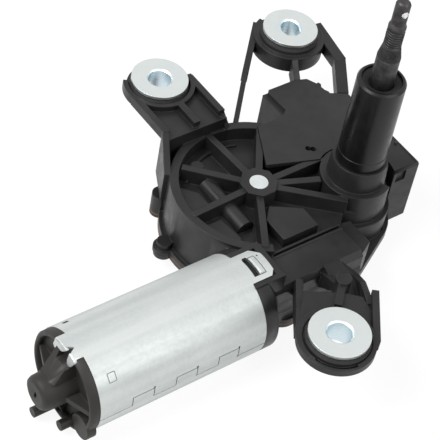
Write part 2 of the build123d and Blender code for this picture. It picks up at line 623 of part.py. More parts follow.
def make_gear_housing():
    """The one black moulding that carries everything else."""
    with BuildPart() as housing:
        with BuildSketch(Plane.XY.offset(FOOT_Z)):
            foot_outline()
        extrude(amount=FOOT_THICKNESS)
        raise_disc(GEAR_AXIS, CUP_R, FOOT_Z, FLOOR_TOP)
        with BuildSketch(Plane.XY.offset(FOOT_Z)):
            belt((0, 0), BAY_R, GEAR_AXIS, CUP_R - 12)
        extrude(amount=BAY_TOP - FOOT_Z)
        with BuildSketch(Plane.XY.offset(FOOT_Z)):
            electronics_outline()
        extrude(amount=TRAY_TOP - FOOT_Z)
        with BuildSketch(Plane.XY.offset(FLOOR_BOTTOM)):
            tray_outline()
        extrude(amount=TRAY_TOP - FLOOR_BOTTOM)
        with BuildSketch(Plane.XY.offset(BAY_TOP - 2)):
            belt((0, 0), COLLAR_R, GEAR_AXIS, GEAR_HUB_R)
        extrude(amount=FLOOR_TOP - BAY_TOP + 2)
        housing_top()
        housing_drive_bays()
        left_arm()
        top_arm()
        front_arm()
        raise_disc(COVER_SCREWS[0], BOSS_R, FOOT_Z, BOSS_TOP)
        raise_disc(COVER_SCREWS[1], BOSS_R + 0.6, FOOT_Z, LOW_BOSS_TOP - 3.0)
        raise_disc(COVER_SCREWS[1], BOSS_R - 0.8, FOOT_Z, LOW_BOSS_TOP)
        # flat underside for the gasket and the rear cover
        with BuildSketch(Plane.XY.offset(FOOT_Z)):
            foot_outline()
        extrude(amount=WORM_Z - CAN_R - FOOT_Z, mode=Mode.SUBTRACT)
        # cavities: gear chamber, linkage bay, electronics box and tray
        raise_disc(GEAR_AXIS, CAVITY_R, FOOT_Z, FLOOR_BOTTOM, Mode.SUBTRACT)
        with BuildSketch(Plane.XY.offset(FOOT_Z)):
            linkage_bay_outline(SWEEP_GAP)
        extrude(amount=LEVER_TOP + SWEEP_GAP - FOOT_Z, mode=Mode.SUBTRACT)
        with BuildSketch(Plane.XY.offset(FOOT_Z)) as chamber:
            electronics_outline()
            offset(amount=-HOUSING_WALL, kind=Kind.INTERSECTION, mode=Mode.REPLACE)
            with Locations((0, 0)):
                Circle(CHAMBER_NOTCH_R, mode=Mode.SUBTRACT)
        extrude(chamber.sketch, amount=FLOOR_BOTTOM - FOOT_Z, mode=Mode.SUBTRACT)
        for outline in (electronics_outline, tray_outline):
            with BuildSketch(Plane.XY.offset(FLOOR_TOP)):
                outline()
                offset(amount=-HOUSING_WALL, kind=Kind.INTERSECTION, mode=Mode.REPLACE)
            extrude(amount=TRAY_TOP - FLOOR_TOP, mode=Mode.SUBTRACT)
        for spot in COVER_SCREWS[3:5]:
            raise_disc(spot, BOSS_R - 0.5, FOOT_Z, FLOOR_TOP)
        # window for the contact springs, between the tray and the gear chamber
        raise_outline([(-28, 25), (-20, 38), (-12, 33), (-20, 20)], FLOOR_BOTTOM, FLOOR_TOP, Mode.SUBTRACT)
        for post in BOARD_POSTS:
            raise_disc(post, 2.2, FLOOR_TOP, BOARD_BOTTOM)
        # seat of the electronics cover, and the slot that the can's tongue slides into
        with BuildSketch(Plane.XY.offset(TRAY_TOP)):
            electronics_cover_outline(COVER_FIT)
        extrude(amount=ELECTRONICS_COVER_THICKNESS, mode=Mode.SUBTRACT)
        with BuildSketch(along_shaft(CAN_FRONT_X)):
            with Locations((0, CAN_R)):
                Rectangle(TONGUE_WIDTH + 2 * COVER_FIT, TONGUE_LENGTH)
            Circle(CAN_BORE_R - COVER_FIT, mode=Mode.SUBTRACT)
        extrude(amount=TONGUE_LENGTH + COVER_FIT, mode=Mode.SUBTRACT)
        # room for the grommets
        for centre in (LEFT_MOUNT, FRONT_MOUNT, TOP_MOUNT):
            raise_disc(centre, CUP_INNER_R, FORK_PLATE_TOP, 0, Mode.SUBTRACT)
            raise_disc(centre, CUP_INNER_R, -2 * SLEEVE_LENGTH, FORK_PLATE_BOTTOM, Mode.SUBTRACT)
        # bores for the shaft, its bearings, the gear axle and the spindle
        turn_on_shaft(
            [
                (CAN_FRONT_X + 3, 0),
                (CAN_FRONT_X + 3, BEARING_R),
                (BEARING_END_X, BEARING_R),
                (BEARING_END_X, WORM_TIP_R + 0.7),
                (END_BUSH_X, WORM_TIP_R + 0.7),
                (END_BUSH_X, END_BUSH_R),
                (SHAFT_END_X + PAD_THICKNESS, END_BUSH_R),
                (SHAFT_END_X + PAD_THICKNESS, 0),
            ],
            Mode.SUBTRACT,
        )
        raise_disc(GEAR_AXIS, GEAR_AXLE_R, FLOOR_BOTTOM, HUB_TOP, Mode.SUBTRACT)
        raise_disc((0, 0), SPINDLE_BUSH_R, LEVER_TOP, NECK_SPIGOT_BOTTOM, Mode.SUBTRACT)
        raise_disc((0, 0), NECK_SPIGOT_R, NECK_SPIGOT_BOTTOM, 0, Mode.SUBTRACT)
        for spot in COVER_SCREWS:
            raise_disc(spot, SCREW_R, FOOT_Z, FOOT_Z + SCREW_REACH + 0.3, Mode.SUBTRACT)
    return housing


def ring(centre, outer, inner, bottom, top):
    """A plain upright ring."""
    with BuildPart() as piece:
        turn_upright(centre, [(inner, bottom), (outer, bottom), (outer, top), (inner, top)])
    return piece


def make_sleeve(centre, slotted):
    """Zinc-plated spacer sleeve with a washer-like flange on top."""
    with BuildPart() as sleeve:
        tube_bottom = -SLEEVE_LENGTH
        turn_upright(
            centre,
            [
                (0, tube_bottom),
                (SLEEVE_TUBE_R, tube_bottom),
                (SLEEVE_TUBE_R, -SLEEVE_FLANGE_THICKNESS),
                (SLEEVE_FLANGE_R, -SLEEVE_FLANGE_THICKNESS),
                (SLEEVE_FLANGE_R, 0),
                (0, 0),
            ],
        )
        with BuildSketch(Plane.XY) as opening:
            with Locations(Location((*centre, 0), (0, 0, 65))):
                if slotted:
                    SlotOverall(SLOT_SLEEVE_LENGTH, SLOT_SLEEVE_WIDTH)
                else:
                    Circle(SLEEVE_BORE_R)
        extrude(opening.sketch, amount=-SLEEVE_LENGTH, mode=Mode.SUBTRACT)
        top_face = sleeve.faces().sort_by(Axis.Z)[-1]
        chamfer(top_face.inner_wires()[0].edges(), SLEEVE_LEAD_IN)
    return sleeve


def make_grommet(centre):
    """Rubber spool round the sleeve, gripped by the fork plate in its groove."""
    top = -SLEEVE_FLANGE_THICKNESS
    bottom = LOWER_WASHER_THICKNESS - SLEEVE_LENGTH
    edge = GROMMET_EDGE
    with BuildPart() as grommet:
        turn_upright(
            centre,
            [
                (SLEEVE_TUBE_R, bottom),
                (GROMMET_FLANGE_R - edge, bottom),
                (GROMMET_FLANGE_R, bottom + edge),
                (GROMMET_FLANGE_R, FORK_PLATE_BOTTOM),
                (GROMMET_GROOVE_R, FORK_PLATE_BOTTOM),
                (GROMMET_GROOVE_R, FORK_PLATE_TOP),
                (GROMMET_FLANGE_R, FORK_PLATE_TOP),
                (GROMMET_FLANGE_R, top - 2 * edge),
                (GROMMET_FLANGE_R - 2 * edge, top),
                (SLEEVE_TUBE_R, top),
            ],
        )
    return grommet


def make_lower_washers():
    """Washers pressed on the lower ends of the three sleeves."""
    with BuildPart() as washers:
        for centre in (LEFT_MOUNT, FRONT_MOUNT, TOP_MOUNT):
            bottom = -SLEEVE_LENGTH
            top = bottom + LOWER_WASHER_THICKNESS
            profile = [(SLEEVE_TUBE_R, bottom), (LOWER_WASHER_R, bottom), (LOWER_WASHER_R, top), (SLEEVE_TUBE_R, top)]
            turn_upright(centre, profile)
    return washers


def make_cover_gasket():
    """Flat rubber gasket between the housing foot and the rear cover."""
    with BuildPart() as gasket:
        with BuildSketch(Plane.XY.offset(COVER_TOP)):
            foot_outline()
        extrude(amount=GASKET_THICKNESS)
        with BuildSketch(Plane.XY.offset(COVER_TOP)):
            with Locations(GEAR_AXIS):
                Circle(CAVITY_R)
            linkage_bay_outline(SWEEP_GAP)
        extrude(amount=GASKET_THICKNESS, mode=Mode.SUBTRACT)
        with BuildSketch(Plane.XY.offset(COVER_TOP)):
            electronics_outline()
            offset(amount=-GASKET_LAND, kind=Kind.INTERSECTION, mode=Mode.REPLACE)
            with Locations((0, 0)):
                Circle(CHAMBER_NOTCH_R, mode=Mode.SUBTRACT)
        extrude(amount=GASKET_THICKNESS, mode=Mode.SUBTRACT)
        for spot in COVER_SCREWS:
            raise_disc(spot, SCREW_R + 0.2, COVER_TOP, FOOT_Z, Mode.SUBTRACT)
    return gasket


def make_rear_cover():
    """Pressed steel cover that closes the housing from below."""
    with BuildPart() as cover:
        with BuildSketch(Plane.XY.offset(COVER_BOTTOM)):
            foot_outline()
        extrude(amount=COVER_THICKNESS)
        for spot in COVER_SCREWS:
            raise_disc(spot, SCREW_R + 0.2, COVER_BOTTOM, COVER_TOP, Mode.SUBTRACT)
    return cover


def make_cover_screws():
    """Self-tapping screws that hold the rear cover, driven from below."""
    head_bottom = COVER_BOTTOM - SCREW_HEAD_HEIGHT
    with BuildPart() as screws:
        for spot in COVER_SCREWS:
            turn_upright(
                spot,
                [
                    (0, head_bottom),
                    (SCREW_HEAD_R - 0.7, head_bottom),
                    (SCREW_HEAD_R, head_bottom + 0.7),
                    (SCREW_HEAD_R, COVER_BOTTOM),
                    (SCREW_R, COVER_BOTTOM),
                    (SCREW_R, FOOT_Z + SCREW_REACH),
                    (0, FOOT_Z + SCREW_REACH),
                ],
            )
    return screws


def make_spindle_neck():
    """Slightly tapered tube that carries the spindle above the housing."""
    with BuildPart() as neck:
        turn_upright(
            (0, 0),
            [
                (SPINDLE_BUSH_R, NECK_SPIGOT_BOTTOM),
                (NECK_SPIGOT_R, NECK_SPIGOT_BOTTOM),
                (NECK_SPIGOT_R, 0),
                (NECK_R, 0),
                (NECK_R, NECK_STRAIGHT_TOP),
                (NECK_R - NECK_STEP, NECK_STRAIGHT_TOP + NECK_STEP / 2),
                (NECK_TOP_R, NECK_TOP - 1),
                (NECK_TOP_R - 0.8, NECK_TOP),
                (SEAL_R, NECK_TOP),
                (SEAL_R, SEAL_SEAT),
                (SPINDLE_BUSH_R, SEAL_SEAT),
            ],
        )
    return neck


def make_spindle_seal():
    """Rubber ring in the recess at the top of the neck."""
    with BuildPart() as seal:
        turn_upright(
            (0, 0),
            [
                (SPINDLE_R + 0.3, SEAL_SEAT),
                (SEAL_R, SEAL_SEAT),
                (SEAL_R, NECK_TOP - 1.2),
                (SEAL_R - 1.4, NECK_TOP - 1.2),
                (SPINDLE_R + 0.3, NECK_TOP - 2.2),
            ],
        )
    return seal


def make_spindle():
    """Wiper spindle: shaft, knurled cone, thread and pierced tip."""
    with BuildPart() as spindle:
        turn_upright(
            (0, 0),
            [
                (0, LEVER_BOTTOM),
                (SPINDLE_R, LEVER_BOTTOM),
                (SPINDLE_R, RETAINER_GROOVE),
                (RETAINER_INNER_R, RETAINER_GROOVE),
                (RETAINER_INNER_R, RETAINER_GROOVE + RETAINER_THICKNESS),
                (SPINDLE_R, RETAINER_GROOVE + RETAINER_THICKNESS),
                (SPINDLE_R, KNURL_BOTTOM),
                (THREAD_R, KNURL_TOP),
                (THREAD_R, THREAD_TOP),
                (TIP_R, TIP_SHOULDER),
                (TIP_R, SPINDLE_TOP - 1.2),
                (TIP_R - 1.2, SPINDLE_TOP),
                (0, SPINDLE_TOP),
            ],
        )
        hole_plane = Plane(origin=(0, 0, TIP_HOLE_Z), x_dir=(0, 0, 1), z_dir=(0.6, 0.8, 0))
        with BuildSketch(hole_plane):
            Circle(TIP_HOLE_R)
        extrude(amount=2 * TIP_R, both=True, mode=Mode.SUBTRACT)
    return spindle


def make_output_lever():
    """Stamped lever pressed on the lower end of the spindle."""
    with BuildPart() as lever:
        with BuildSketch(Plane.XY.offset(LEVER_BOTTOM)):
            belt((0, 0), LEVER_BOSS_R, LEVER_PIN, LEVER_EYE_R)
            with Locations((0, 0)):
                Circle(SPINDLE_R, mode=Mode.SUBTRACT)
            with Locations(LEVER_PIN):
                Circle(LEVER_PIN_R, mode=Mode.SUBTRACT)
        extrude(amount=LEVER_THICKNESS)
    return lever


def make_lever_pin():
    """Pin riveted into the lever's eye, its end just above the link."""
    with BuildPart() as pin:
        raise_disc(LEVER_PIN, LEVER_PIN_R, LINK_TOP + LINKAGE_GAP, LEVER_TOP)
    return pin


def make_connecting_link():
    """Flat steel link from the crank pin to the lever pin."""
    with BuildPart() as link:
        with BuildSketch(Plane.XY.offset(LINK_BOTTOM)):
            with Locations(CRANK_PIN):
                Circle(LINK_CRANK_EYE_R)
            with Locations(LEVER_PIN):
                Circle(LINK_LEVER_EYE_R)
            with BuildLine():
                Line(CRANK_PIN, LEVER_PIN)
            trace(line_width=LINK_WIDTH)
            with Locations(CRANK_PIN):
                Circle(CRANK_PIN_R + RUNNING_CLEARANCE, mode=Mode.SUBTRACT)
            with Locations(LEVER_PIN):
                Circle(LEVER_PIN_R + RUNNING_CLEARANCE, mode=Mode.SUBTRACT)
        extrude(amount=LINK_THICKNESS)
    return link


def make_crank_pin():
    """Steel crank pin pressed into the gear, headed below the link."""
    head_top = LINK_BOTTOM - 0.2
    with BuildPart() as pin:
        turn_upright(
            CRANK_PIN,
            [
                (0, head_top - 1),
                (CRANK_PIN_R + 1.4, head_top - 1),
                (CRANK_PIN_R + 1.4, head_top),
                (CRANK_PIN_R, head_top),
                (CRANK_PIN_R, CRANK_PIN_TOP),
                (0, CRANK_PIN_TOP),
            ],
        )
    return pin


def gear_tooth_outline(turned):
    """Gear blank outline with straight-flanked teeth, turned about its axis."""
    pitch_half = degrees((pi * MODULE / 2 - BACKLASH) / 2 / GEAR_PITCH_R)
    flank = tan(radians(PRESSURE_ANGLE))
    tip_half = pitch_half - degrees(MODULE * flank / GEAR_PITCH_R)
    root_half = pitch_half + degrees(1.25 * MODULE * flank / GEAR_PITCH_R)
    points = []
    for tooth in range(GEAR_TEETH):
        middle = turned - 90 + 360 / GEAR_TEETH * tooth
        points.append(polar(GEAR_AXIS, GEAR_ROOT_R, middle - root_half))
        points.append(polar(GEAR_AXIS, GEAR_TIP_R, middle - tip_half))
        points.append(polar(GEAR_AXIS, GEAR_TIP_R, middle + tip_half))
        points.append(polar(GEAR_AXIS, GEAR_ROOT_R, middle + root_half))
    with BuildLine() as edge:
        Polyline(*points, close=True)
    make_face(edge.edges())


def make_worm_gear():
    """Helical worm wheel: toothed rim, thin ribbed web, hub and crank boss."""
    twist = degrees(GEAR_FACE / 2 * tan(radians(LEAD_ANGLE)) / GEAR_PITCH_R)
    with BuildPart() as gear:
        for level, turned in ((GEAR_BOTTOM, -twist), (GEAR_TOP, twist)):
            with BuildSketch(Plane.XY.offset(level)):
                gear_tooth_outline(turned)
        loft(ruled=True)
        with BuildSketch(Plane.XY.offset(GEAR_BOTTOM)):
            with Locations(GEAR_AXIS):
                Circle(GEAR_ROOT_R - GEAR_RIM_THICKNESS)
                Circle(GEAR_HUB_R, mode=Mode.SUBTRACT)
                with PolarLocations(GEAR_PITCH_R / 2, 6, start_angle=LINK_DIRECTION):
                    Rectangle(GEAR_PITCH_R, 1.8, mode=Mode.SUBTRACT)
            with Locations(CRANK_PIN):
                Circle(CRANK_PIN_R + 3, mode=Mode.SUBTRACT)
        extrude(amount=GEAR_FACE - GEAR_WEB_THICKNESS, mode=Mode.SUBTRACT)
        raise_disc(GEAR_AXIS, GEAR_HUB_R, GEAR_HUB_BOTTOM, GEAR_BOTTOM)
        raise_disc(GEAR_AXIS, GEAR_AXLE_R + RUNNING_CLEARANCE, GEAR_HUB_BOTTOM, GEAR_TOP, Mode.SUBTRACT)
        raise_disc(CRANK_PIN, CRANK_PIN_R, GEAR_HUB_BOTTOM, CRANK_PIN_TOP, Mode.SUBTRACT)
    return gear


def make_contact_ring():
    """Stamped brass ring on the gear that the park contacts slide on."""
    with BuildPart() as contact:
        with BuildSketch(Plane.XY.offset(GEAR_TOP)):
            with Locations(GEAR_AXIS):
                Circle(CONTACT_RING_R)
                Circle(CONTACT_RING_INNER_R, mode=Mode.SUBTRACT)
            notch = polar(GEAR_AXIS, CONTACT_RING_R, 150)
            with Locations(Location((*notch, 0), (0, 0, 150))):
                Rectangle(8, 9, mode=Mode.SUBTRACT)
        extrude(amount=CONTACT_RING_THICKNESS)
    return contact


def make_gear_axle():
    """Fixed steel axle pressed into the housing hub, grooved for its ring."""
    ring_top = GEAR_HUB_BOTTOM - RUNNING_CLEARANCE
    ring_bottom = ring_top - AXLE_RING_THICKNESS
    with BuildPart() as axle:
        turn_upright(
            GEAR_AXIS,
            [
                (0, AXLE_BOTTOM),
                (GEAR_AXLE_R, AXLE_BOTTOM),
                (GEAR_AXLE_R, ring_bottom),
                (AXLE_GROOVE_R, ring_bottom),
                (AXLE_GROOVE_R, ring_top),
                (GEAR_AXLE_R, ring_top),
                (GEAR_AXLE_R, HUB_TOP),
                (0, HUB_TOP),
            ],
        )
    return axle


def make_armature_shaft():
    """Motor shaft with a single-start right-handed worm rolled on its front half."""
    step_x = END_BUSH_X - 0.5
    tip = WORM_TIP_R - WORM_PITCH_R
    root = SHAFT_R - 0.2 - WORM_PITCH_R
    half_thickness = (WORM_PITCH / 2 - BACKLASH) / 2
    flank = tan(radians(PRESSURE_ANGLE))
    with BuildPart() as shaft:
        turn_on_shaft(
            [
                (SHAFT_REAR_X, 0),
                (SHAFT_REAR_X, SHAFT_R - 0.6),
                (SHAFT_REAR_X + 0.6, SHAFT_R),
                (step_x, SHAFT_R),
                (step_x, SHAFT_TAIL_R),
                (SHAFT_END_X - 0.5, SHAFT_TAIL_R),
                (SHAFT_END_X, SHAFT_TAIL_R - 0.5),
                (SHAFT_END_X, 0),
            ]
        )
        with BuildLine() as path:
            start = (WORM_START_X, WORM_Y, WORM_Z)
            Helix(WORM_PITCH, WORM_TURNS * WORM_PITCH, WORM_PITCH_R, center=start, direction=(1, 0, 0))
        helix = path.edges()[0]
        with BuildSketch(Plane(origin=helix @ 0, x_dir=(0, 0, 1), z_dir=helix % 0)) as tooth:
            with BuildLine():
                Polyline(
                    (root, half_thickness - root * flank),
                    (tip, half_thickness - tip * flank),
                    (tip, tip * flank - half_thickness),
                    (root, root * flank - half_thickness),
                    close=True,
                )
            make_face()
        sweep(tooth.sketch, path=helix, is_frenet=True)
    return shaft


def make_armature_core():
    """Slotted lamination stack on the shaft."""
    with BuildPart() as core:
        with BuildSketch(along_shaft(CORE_REAR_X)):
            Circle(CORE_R)
            Circle(SHAFT_R, mode=Mode.SUBTRACT)
            with PolarLocations(CORE_R, CORE_SLOTS):
                Rectangle(4, SLOT_MOUTH, mode=Mode.SUBTRACT)
            with PolarLocations(SLOT_MIDDLE_R, CORE_SLOTS):
                Rectangle(SLOT_DEPTH, SLOT_WIDTH, mode=Mode.SUBTRACT)
        extrude(amount=CORE_LENGTH)
    return core


def make_armature_windings():
    """Copper windings: bars through the slots and a rounded coil head at each end."""
    with BuildPart() as windings:
        with BuildSketch(along_shaft(CORE_REAR_X)):
            with PolarLocations(SLOT_MIDDLE_R, CORE_SLOTS):
                Rectangle(SLOT_DEPTH - 0.1, SLOT_WIDTH - 0.1)
        extrude(amount=CORE_LENGTH)
        inner, outer = SHAFT_R + 1, SLOT_MIDDLE_R + SLOT_DEPTH / 2
        for face_x, way in ((CORE_REAR_X, -1), (CORE_REAR_X + CORE_LENGTH, 1)):
            turn_on_shaft(
                [
                    (face_x, inner),
                    (face_x + way * COIL_HEAD_LENGTH, inner),
                    (face_x + way * COIL_HEAD_LENGTH, outer - 3),
                    (face_x + way * (COIL_HEAD_LENGTH - 3), outer),
                    (face_x, outer),
                ]
            )
    return windings


def make_commutator():
    """Copper commutator with undercut bars and a raised riser for the windings."""
    front_x = COMMUTATOR_X + COMMUTATOR_LENGTH
    with BuildPart() as commutator:
        turn_on_shaft(
            [
                (COMMUTATOR_X - COMMUTATOR_RISER, SHAFT_R),
                (COMMUTATOR_X - COMMUTATOR_RISER, COMMUTATOR_R + 1),
                (COMMUTATOR_X, COMMUTATOR_R + 1),
                (COMMUTATOR_X, COMMUTATOR_R),
                (front_x, COMMUTATOR_R),
                (front_x, SHAFT_R),
            ]
        )
        with BuildSketch(along_shaft(front_x)) as cuts:
            with PolarLocations(COMMUTATOR_R, CORE_SLOTS):
                Rectangle(3, 0.6)
        extrude(cuts.sketch, amount=-COMMUTATOR_LENGTH - COMMUTATOR_RISER, mode=Mode.SUBTRACT)
    return commutator


def make_motor_can():
    """Drawn steel can with a slotted locking tongue and a forked crimp tab."""
    with BuildPart() as can:
        turn_on_shaft([(CAN_REAR_X, CAN_BORE_R), (CAN_REAR_X, CAN_R), (CAN_FRONT_X, CAN_R), (CAN_FRONT_X, CAN_BORE_R)])
        with BuildSketch(along_shaft(CAN_FRONT_X)):
            Circle(CAN_R)
            Circle(CAN_BORE_R, mode=Mode.SUBTRACT)
            with Locations((0, CAN_R)):
                Rectangle(TONGUE_WIDTH, CAN_R, mode=Mode.INTERSECT)
        extrude(amount=TONGUE_LENGTH)
        slot_plane = Plane.XY.offset(WORM_Z)
        with BuildSketch(slot_plane):
            with Locations((CAN_FRONT_X + TONGUE_LENGTH / 2 - 2, WORM_Y)):
                Rectangle(2.2, TONGUE_WIDTH * 0.6)
        extrude(amount=CAN_R, mode=Mode.SUBTRACT)
        # forked tab bent over the end cap
        crimp_x = CAN_REAR_X - CRIMP_REACH
        inner = CAN_R - CRIMP_THICKNESS
        prong = CRIMP_SWEEP * 0.37
        crimp_sector(inner, CAN_R, CRIMP_START, CRIMP_SWEEP, CAN_REAR_X + 1, crimp_x)
        for start in (CRIMP_START, CRIMP_START + CRIMP_SWEEP - prong):
            crimp_sector(CRIMP_INNER_R, CAN_R, start, prong, crimp_x + CRIMP_THICKNESS, crimp_x)
        notch = [(crimp_x + reach, WORM_Y + across) for reach, across in CRIMP_NOTCH]
        raise_outline(notch, WORM_Z + CRIMP_INNER_R, WORM_Z + CAN_R + 1, Mode.SUBTRACT)
    return can


def crimp_sector(inner, outer, start, sweep, from_x, to_x, mode=Mode.ADD):
    """Part of a ring about the motor shaft, between two stations."""
    with BuildSketch(along_shaft(from_x)) as sector:
        with BuildLine():
            CenterArc((0, 0), (inner + outer) / 2, start, sweep)
        trace(line_width=outer - inner)
    extrude(sector.sketch, amount=to_x - from_x, mode=mode)


def cap_rib(angle, width, rim_x, boss_x):
    """Upright rib from the end cap's boss to its rim, its edge sloping between two stations."""
    across = Vector(0, cos(radians(angle)), sin(radians(angle)))
    plane = Plane(origin=(0, WORM_Y, WORM_Z), x_dir=(1, 0, 0), z_dir=Vector(1, 0, 0).cross(across))
    floor_x = CAN_REAR_X + CAP_FLOOR
    with BuildSketch(plane) as side:
        with BuildLine():
            Polyline(
                (floor_x, CAP_BOSS_R - 1),
                (boss_x, CAP_BOSS_R - 1),
                (rim_x, CAP_RIM_BORE_R + 0.3),
                (floor_x, CAP_RIM_BORE_R + 0.3),
                close=True,
            )
        make_face()
    extrude(side.sketch, amount=width / 2, both=True)


def make_end_cap():
    """Black end cap: rim, recessed ribbed face and the boss over the rear bearing."""
    rim_x = CAN_REAR_X - CAP_RIM_LENGTH
    floor_x = CAN_REAR_X + CAP_FLOOR
    bearing_x = SHAFT_REAR_X - 0.5
    with BuildPart() as cap:
        turn_on_shaft(
            [
                (floor_x + 4, CAN_BORE_R - 0.1),
                (CAN_REAR_X, CAN_BORE_R - 0.1),
                (CAN_REAR_X, CAN_R - 0.3),
                (rim_x + 1, CAN_R - 0.3),
                (rim_x, CAN_R - 1.3),
                (rim_x, CAP_RIM_BORE_R + 0.6),
                (rim_x + 0.6, CAP_RIM_BORE_R),
                (floor_x - 2, CAP_RIM_BORE_R),
                (floor_x - 2, CAP_BOSS_R + 0.6),
                (CAP_BOSS_END_X + 2, CAP_BOSS_R - 0.4),
                (CAP_BOSS_END_X + 0.6, CAP_BOSS_R - 1),
                (CAP_BOSS_END_X, CAP_BOSS_R - 2.4),
                (CAP_BOSS_END_X, 0),
                (bearing_x, 0),
                (bearing_x, REAR_BEARING_R),
                (floor_x, REAR_BEARING_R),
                (floor_x, CAN_BORE_R - 2.6),
                (floor_x + 4, CAN_BORE_R - 2.6),
            ]
        )
        cap_rib(88, 10, rim_x + 1, CAP_BOSS_END_X + 5)
        for angle in (3, 180, 270):
            cap_rib(angle, 2.4, rim_x + 1.5, CAP_BOSS_END_X + 9)
        for across, inset, reach in CAP_PEGS:
            with BuildSketch(along_shaft(floor_x - 2)) as peg:
                with Locations((across, inset - CAP_RIM_BORE_R)):
                    Circle(CAP_PEG_R)
            extrude(peg.sketch, amount=-reach)
        # thicker lobe low on the rim
        with BuildSketch(along_shaft(rim_x)) as lobe:
            with Locations(polar((0, 0), CAN_R + 2.6 - CAP_LOBE_R, CAP_LOBE_ANGLE)):
                Circle(CAP_LOBE_R)
        extrude(lobe.sketch, amount=CAP_RIM_LENGTH)
        # pocket for the can's forked tab
        start, sweep = CRIMP_START - 0.6, CRIMP_SWEEP + 1.2
        tab_x = CAN_REAR_X - CRIMP_REACH + CRIMP_THICKNESS + CRIMP_GAP
        tab_r = CAN_R - CRIMP_THICKNESS - CRIMP_GAP
        crimp_sector(tab_r, CAN_R + 2, start, sweep, CAN_REAR_X, rim_x - 1, Mode.SUBTRACT)
        crimp_sector(CRIMP_INNER_R - CRIMP_GAP, CAN_R + 2, start, sweep, tab_x, rim_x - 8, Mode.SUBTRACT)
    return cap


def make_field_magnets():
    """Two ferrite arcs glued inside the can."""
    middle = CORE_REAR_X + CORE_LENGTH / 2
    with BuildPart() as magnets:
        for facing in (0, 180):
            with BuildSketch(along_shaft(middle - MAGNET_LENGTH / 2)):
                with BuildLine():
                    CenterArc((0, 0), (CAN_BORE_R + MAGNET_R) / 2, facing - MAGNET_SPAN / 2, MAGNET_SPAN)
                trace(line_width=MAGNET_THICKNESS)
            extrude(amount=MAGNET_LENGTH)
    return magnets


def make_brush_holder():
    """Plastic ring behind the front spigot, with a box for each brush."""
    with BuildPart() as holder:
        plate_x = CAN_FRONT_X - SPIGOT_LENGTH
        turn_on_shaft(
            [
                (plate_x - 2.5, COMMUTATOR_R + 1.5),
                (plate_x, COMMUTATOR_R + 1.5),
                (plate_x, CAN_BORE_R - 0.1),
                (plate_x - 2.5, CAN_BORE_R - 0.1),
            ]
        )
        middle_r = (COMMUTATOR_R + 1.5 + CAN_BORE_R - 0.6) / 2
        with BuildSketch(along_shaft(plate_x - 2.5)) as boxes:
            with PolarLocations(middle_r, 2):
                Rectangle(CAN_BORE_R - COMMUTATOR_R - 2.1, BRUSH_WIDTH + 3)
        extrude(boxes.sketch, amount=COMMUTATOR_X + 1 - plate_x + 2.5)
        with BuildSketch(along_shaft(BRUSH_X - 0.1)) as wells:
            with PolarLocations(middle_r, 2):
                Rectangle(CAN_BORE_R - COMMUTATOR_R, BRUSH_WIDTH + 0.2)
        extrude(wells.sketch, amount=BRUSH_DEPTH + 0.2, mode=Mode.SUBTRACT)
    return holder


def make_brushes():
    """Two carbon brushes standing on the commutator."""
    with BuildPart() as brushes:
        with BuildSketch(along_shaft(BRUSH_X)):
            with PolarLocations(COMMUTATOR_R + RUNNING_CLEARANCE + BRUSH_LENGTH / 2, 2):
                Rectangle(BRUSH_LENGTH, BRUSH_WIDTH)
        extrude(amount=BRUSH_DEPTH)
    return brushes


def make_brush_springs():
    """Springs between each brush and the can, drawn as their outer tubes."""
    inner = COMMUTATOR_R + RUNNING_CLEARANCE + BRUSH_LENGTH
    outer = CAN_BORE_R - 0.6
    with BuildPart() as springs:
        for side in (-1, 1):
            origin = (BRUSH_X + BRUSH_DEPTH / 2, WORM_Y + side * inner, WORM_Z)
            with BuildSketch(Plane(origin=origin, x_dir=(1, 0, 0), z_dir=(0, side, 0))) as coil:
                Circle(1.9)
                Circle(1.2, mode=Mode.SUBTRACT)
            extrude(coil.sketch, amount=outer - inner)
    return springs


def make_choke_coils():
    """Suppression chokes that stand on the brush plate between the brushes."""
    plate_x = CAN_FRONT_X - SPIGOT_LENGTH - 2.5
    with BuildPart() as chokes:
        with BuildSketch(along_shaft(plate_x)):
            with PolarLocations(CAN_BORE_R - 5, 2, start_angle=90):
                Circle(2.6)
        extrude(amount=-14)
    return chokes


def bush_on_shaft(start_x, end_x, outer, inner):
    """Plain bush, bored for the motor shaft."""
    with BuildPart() as bush:
        turn_on_shaft([(start_x, inner), (end_x, inner), (end_x, outer), (start_x, outer)])
    return bush


def make_thrust_pad():
    """Hard pad that takes the end thrust of the shaft."""
    with BuildPart() as pad:
        with BuildSketch(along_shaft(SHAFT_END_X + END_FLOAT)):
            Circle(END_BUSH_R)
        extrude(amount=PAD_THICKNESS - END_FLOAT)
    return pad


def make_electronics_cover():
    """Flat cover of the electronics box and its tray."""
    with BuildPart() as cover:
        with BuildSketch(Plane.XY.offset(TRAY_TOP)):
            electronics_cover_outline(0)
        extrude(amount=ELECTRONICS_COVER_THICKNESS)
        for vent in ((-9.6, 22.6), (-7.8, 21.2)):
            raise_disc(vent, 1.4, TRAY_TOP, ELECTRONICS_TOP, Mode.SUBTRACT)
    return cover


def make_control_board():
    """Circuit board on four posts under the electronics cover."""
    with BuildPart() as board:
        for outline in (electronics_outline, tray_outline):
            with BuildSketch(Plane.XY.offset(BOARD_BOTTOM)):
                outline()
                offset(amount=-HOUSING_WALL - 0.4, kind=Kind.INTERSECTION, mode=Mode.REPLACE)
            extrude(amount=BOARD_THICKNESS)
    return board


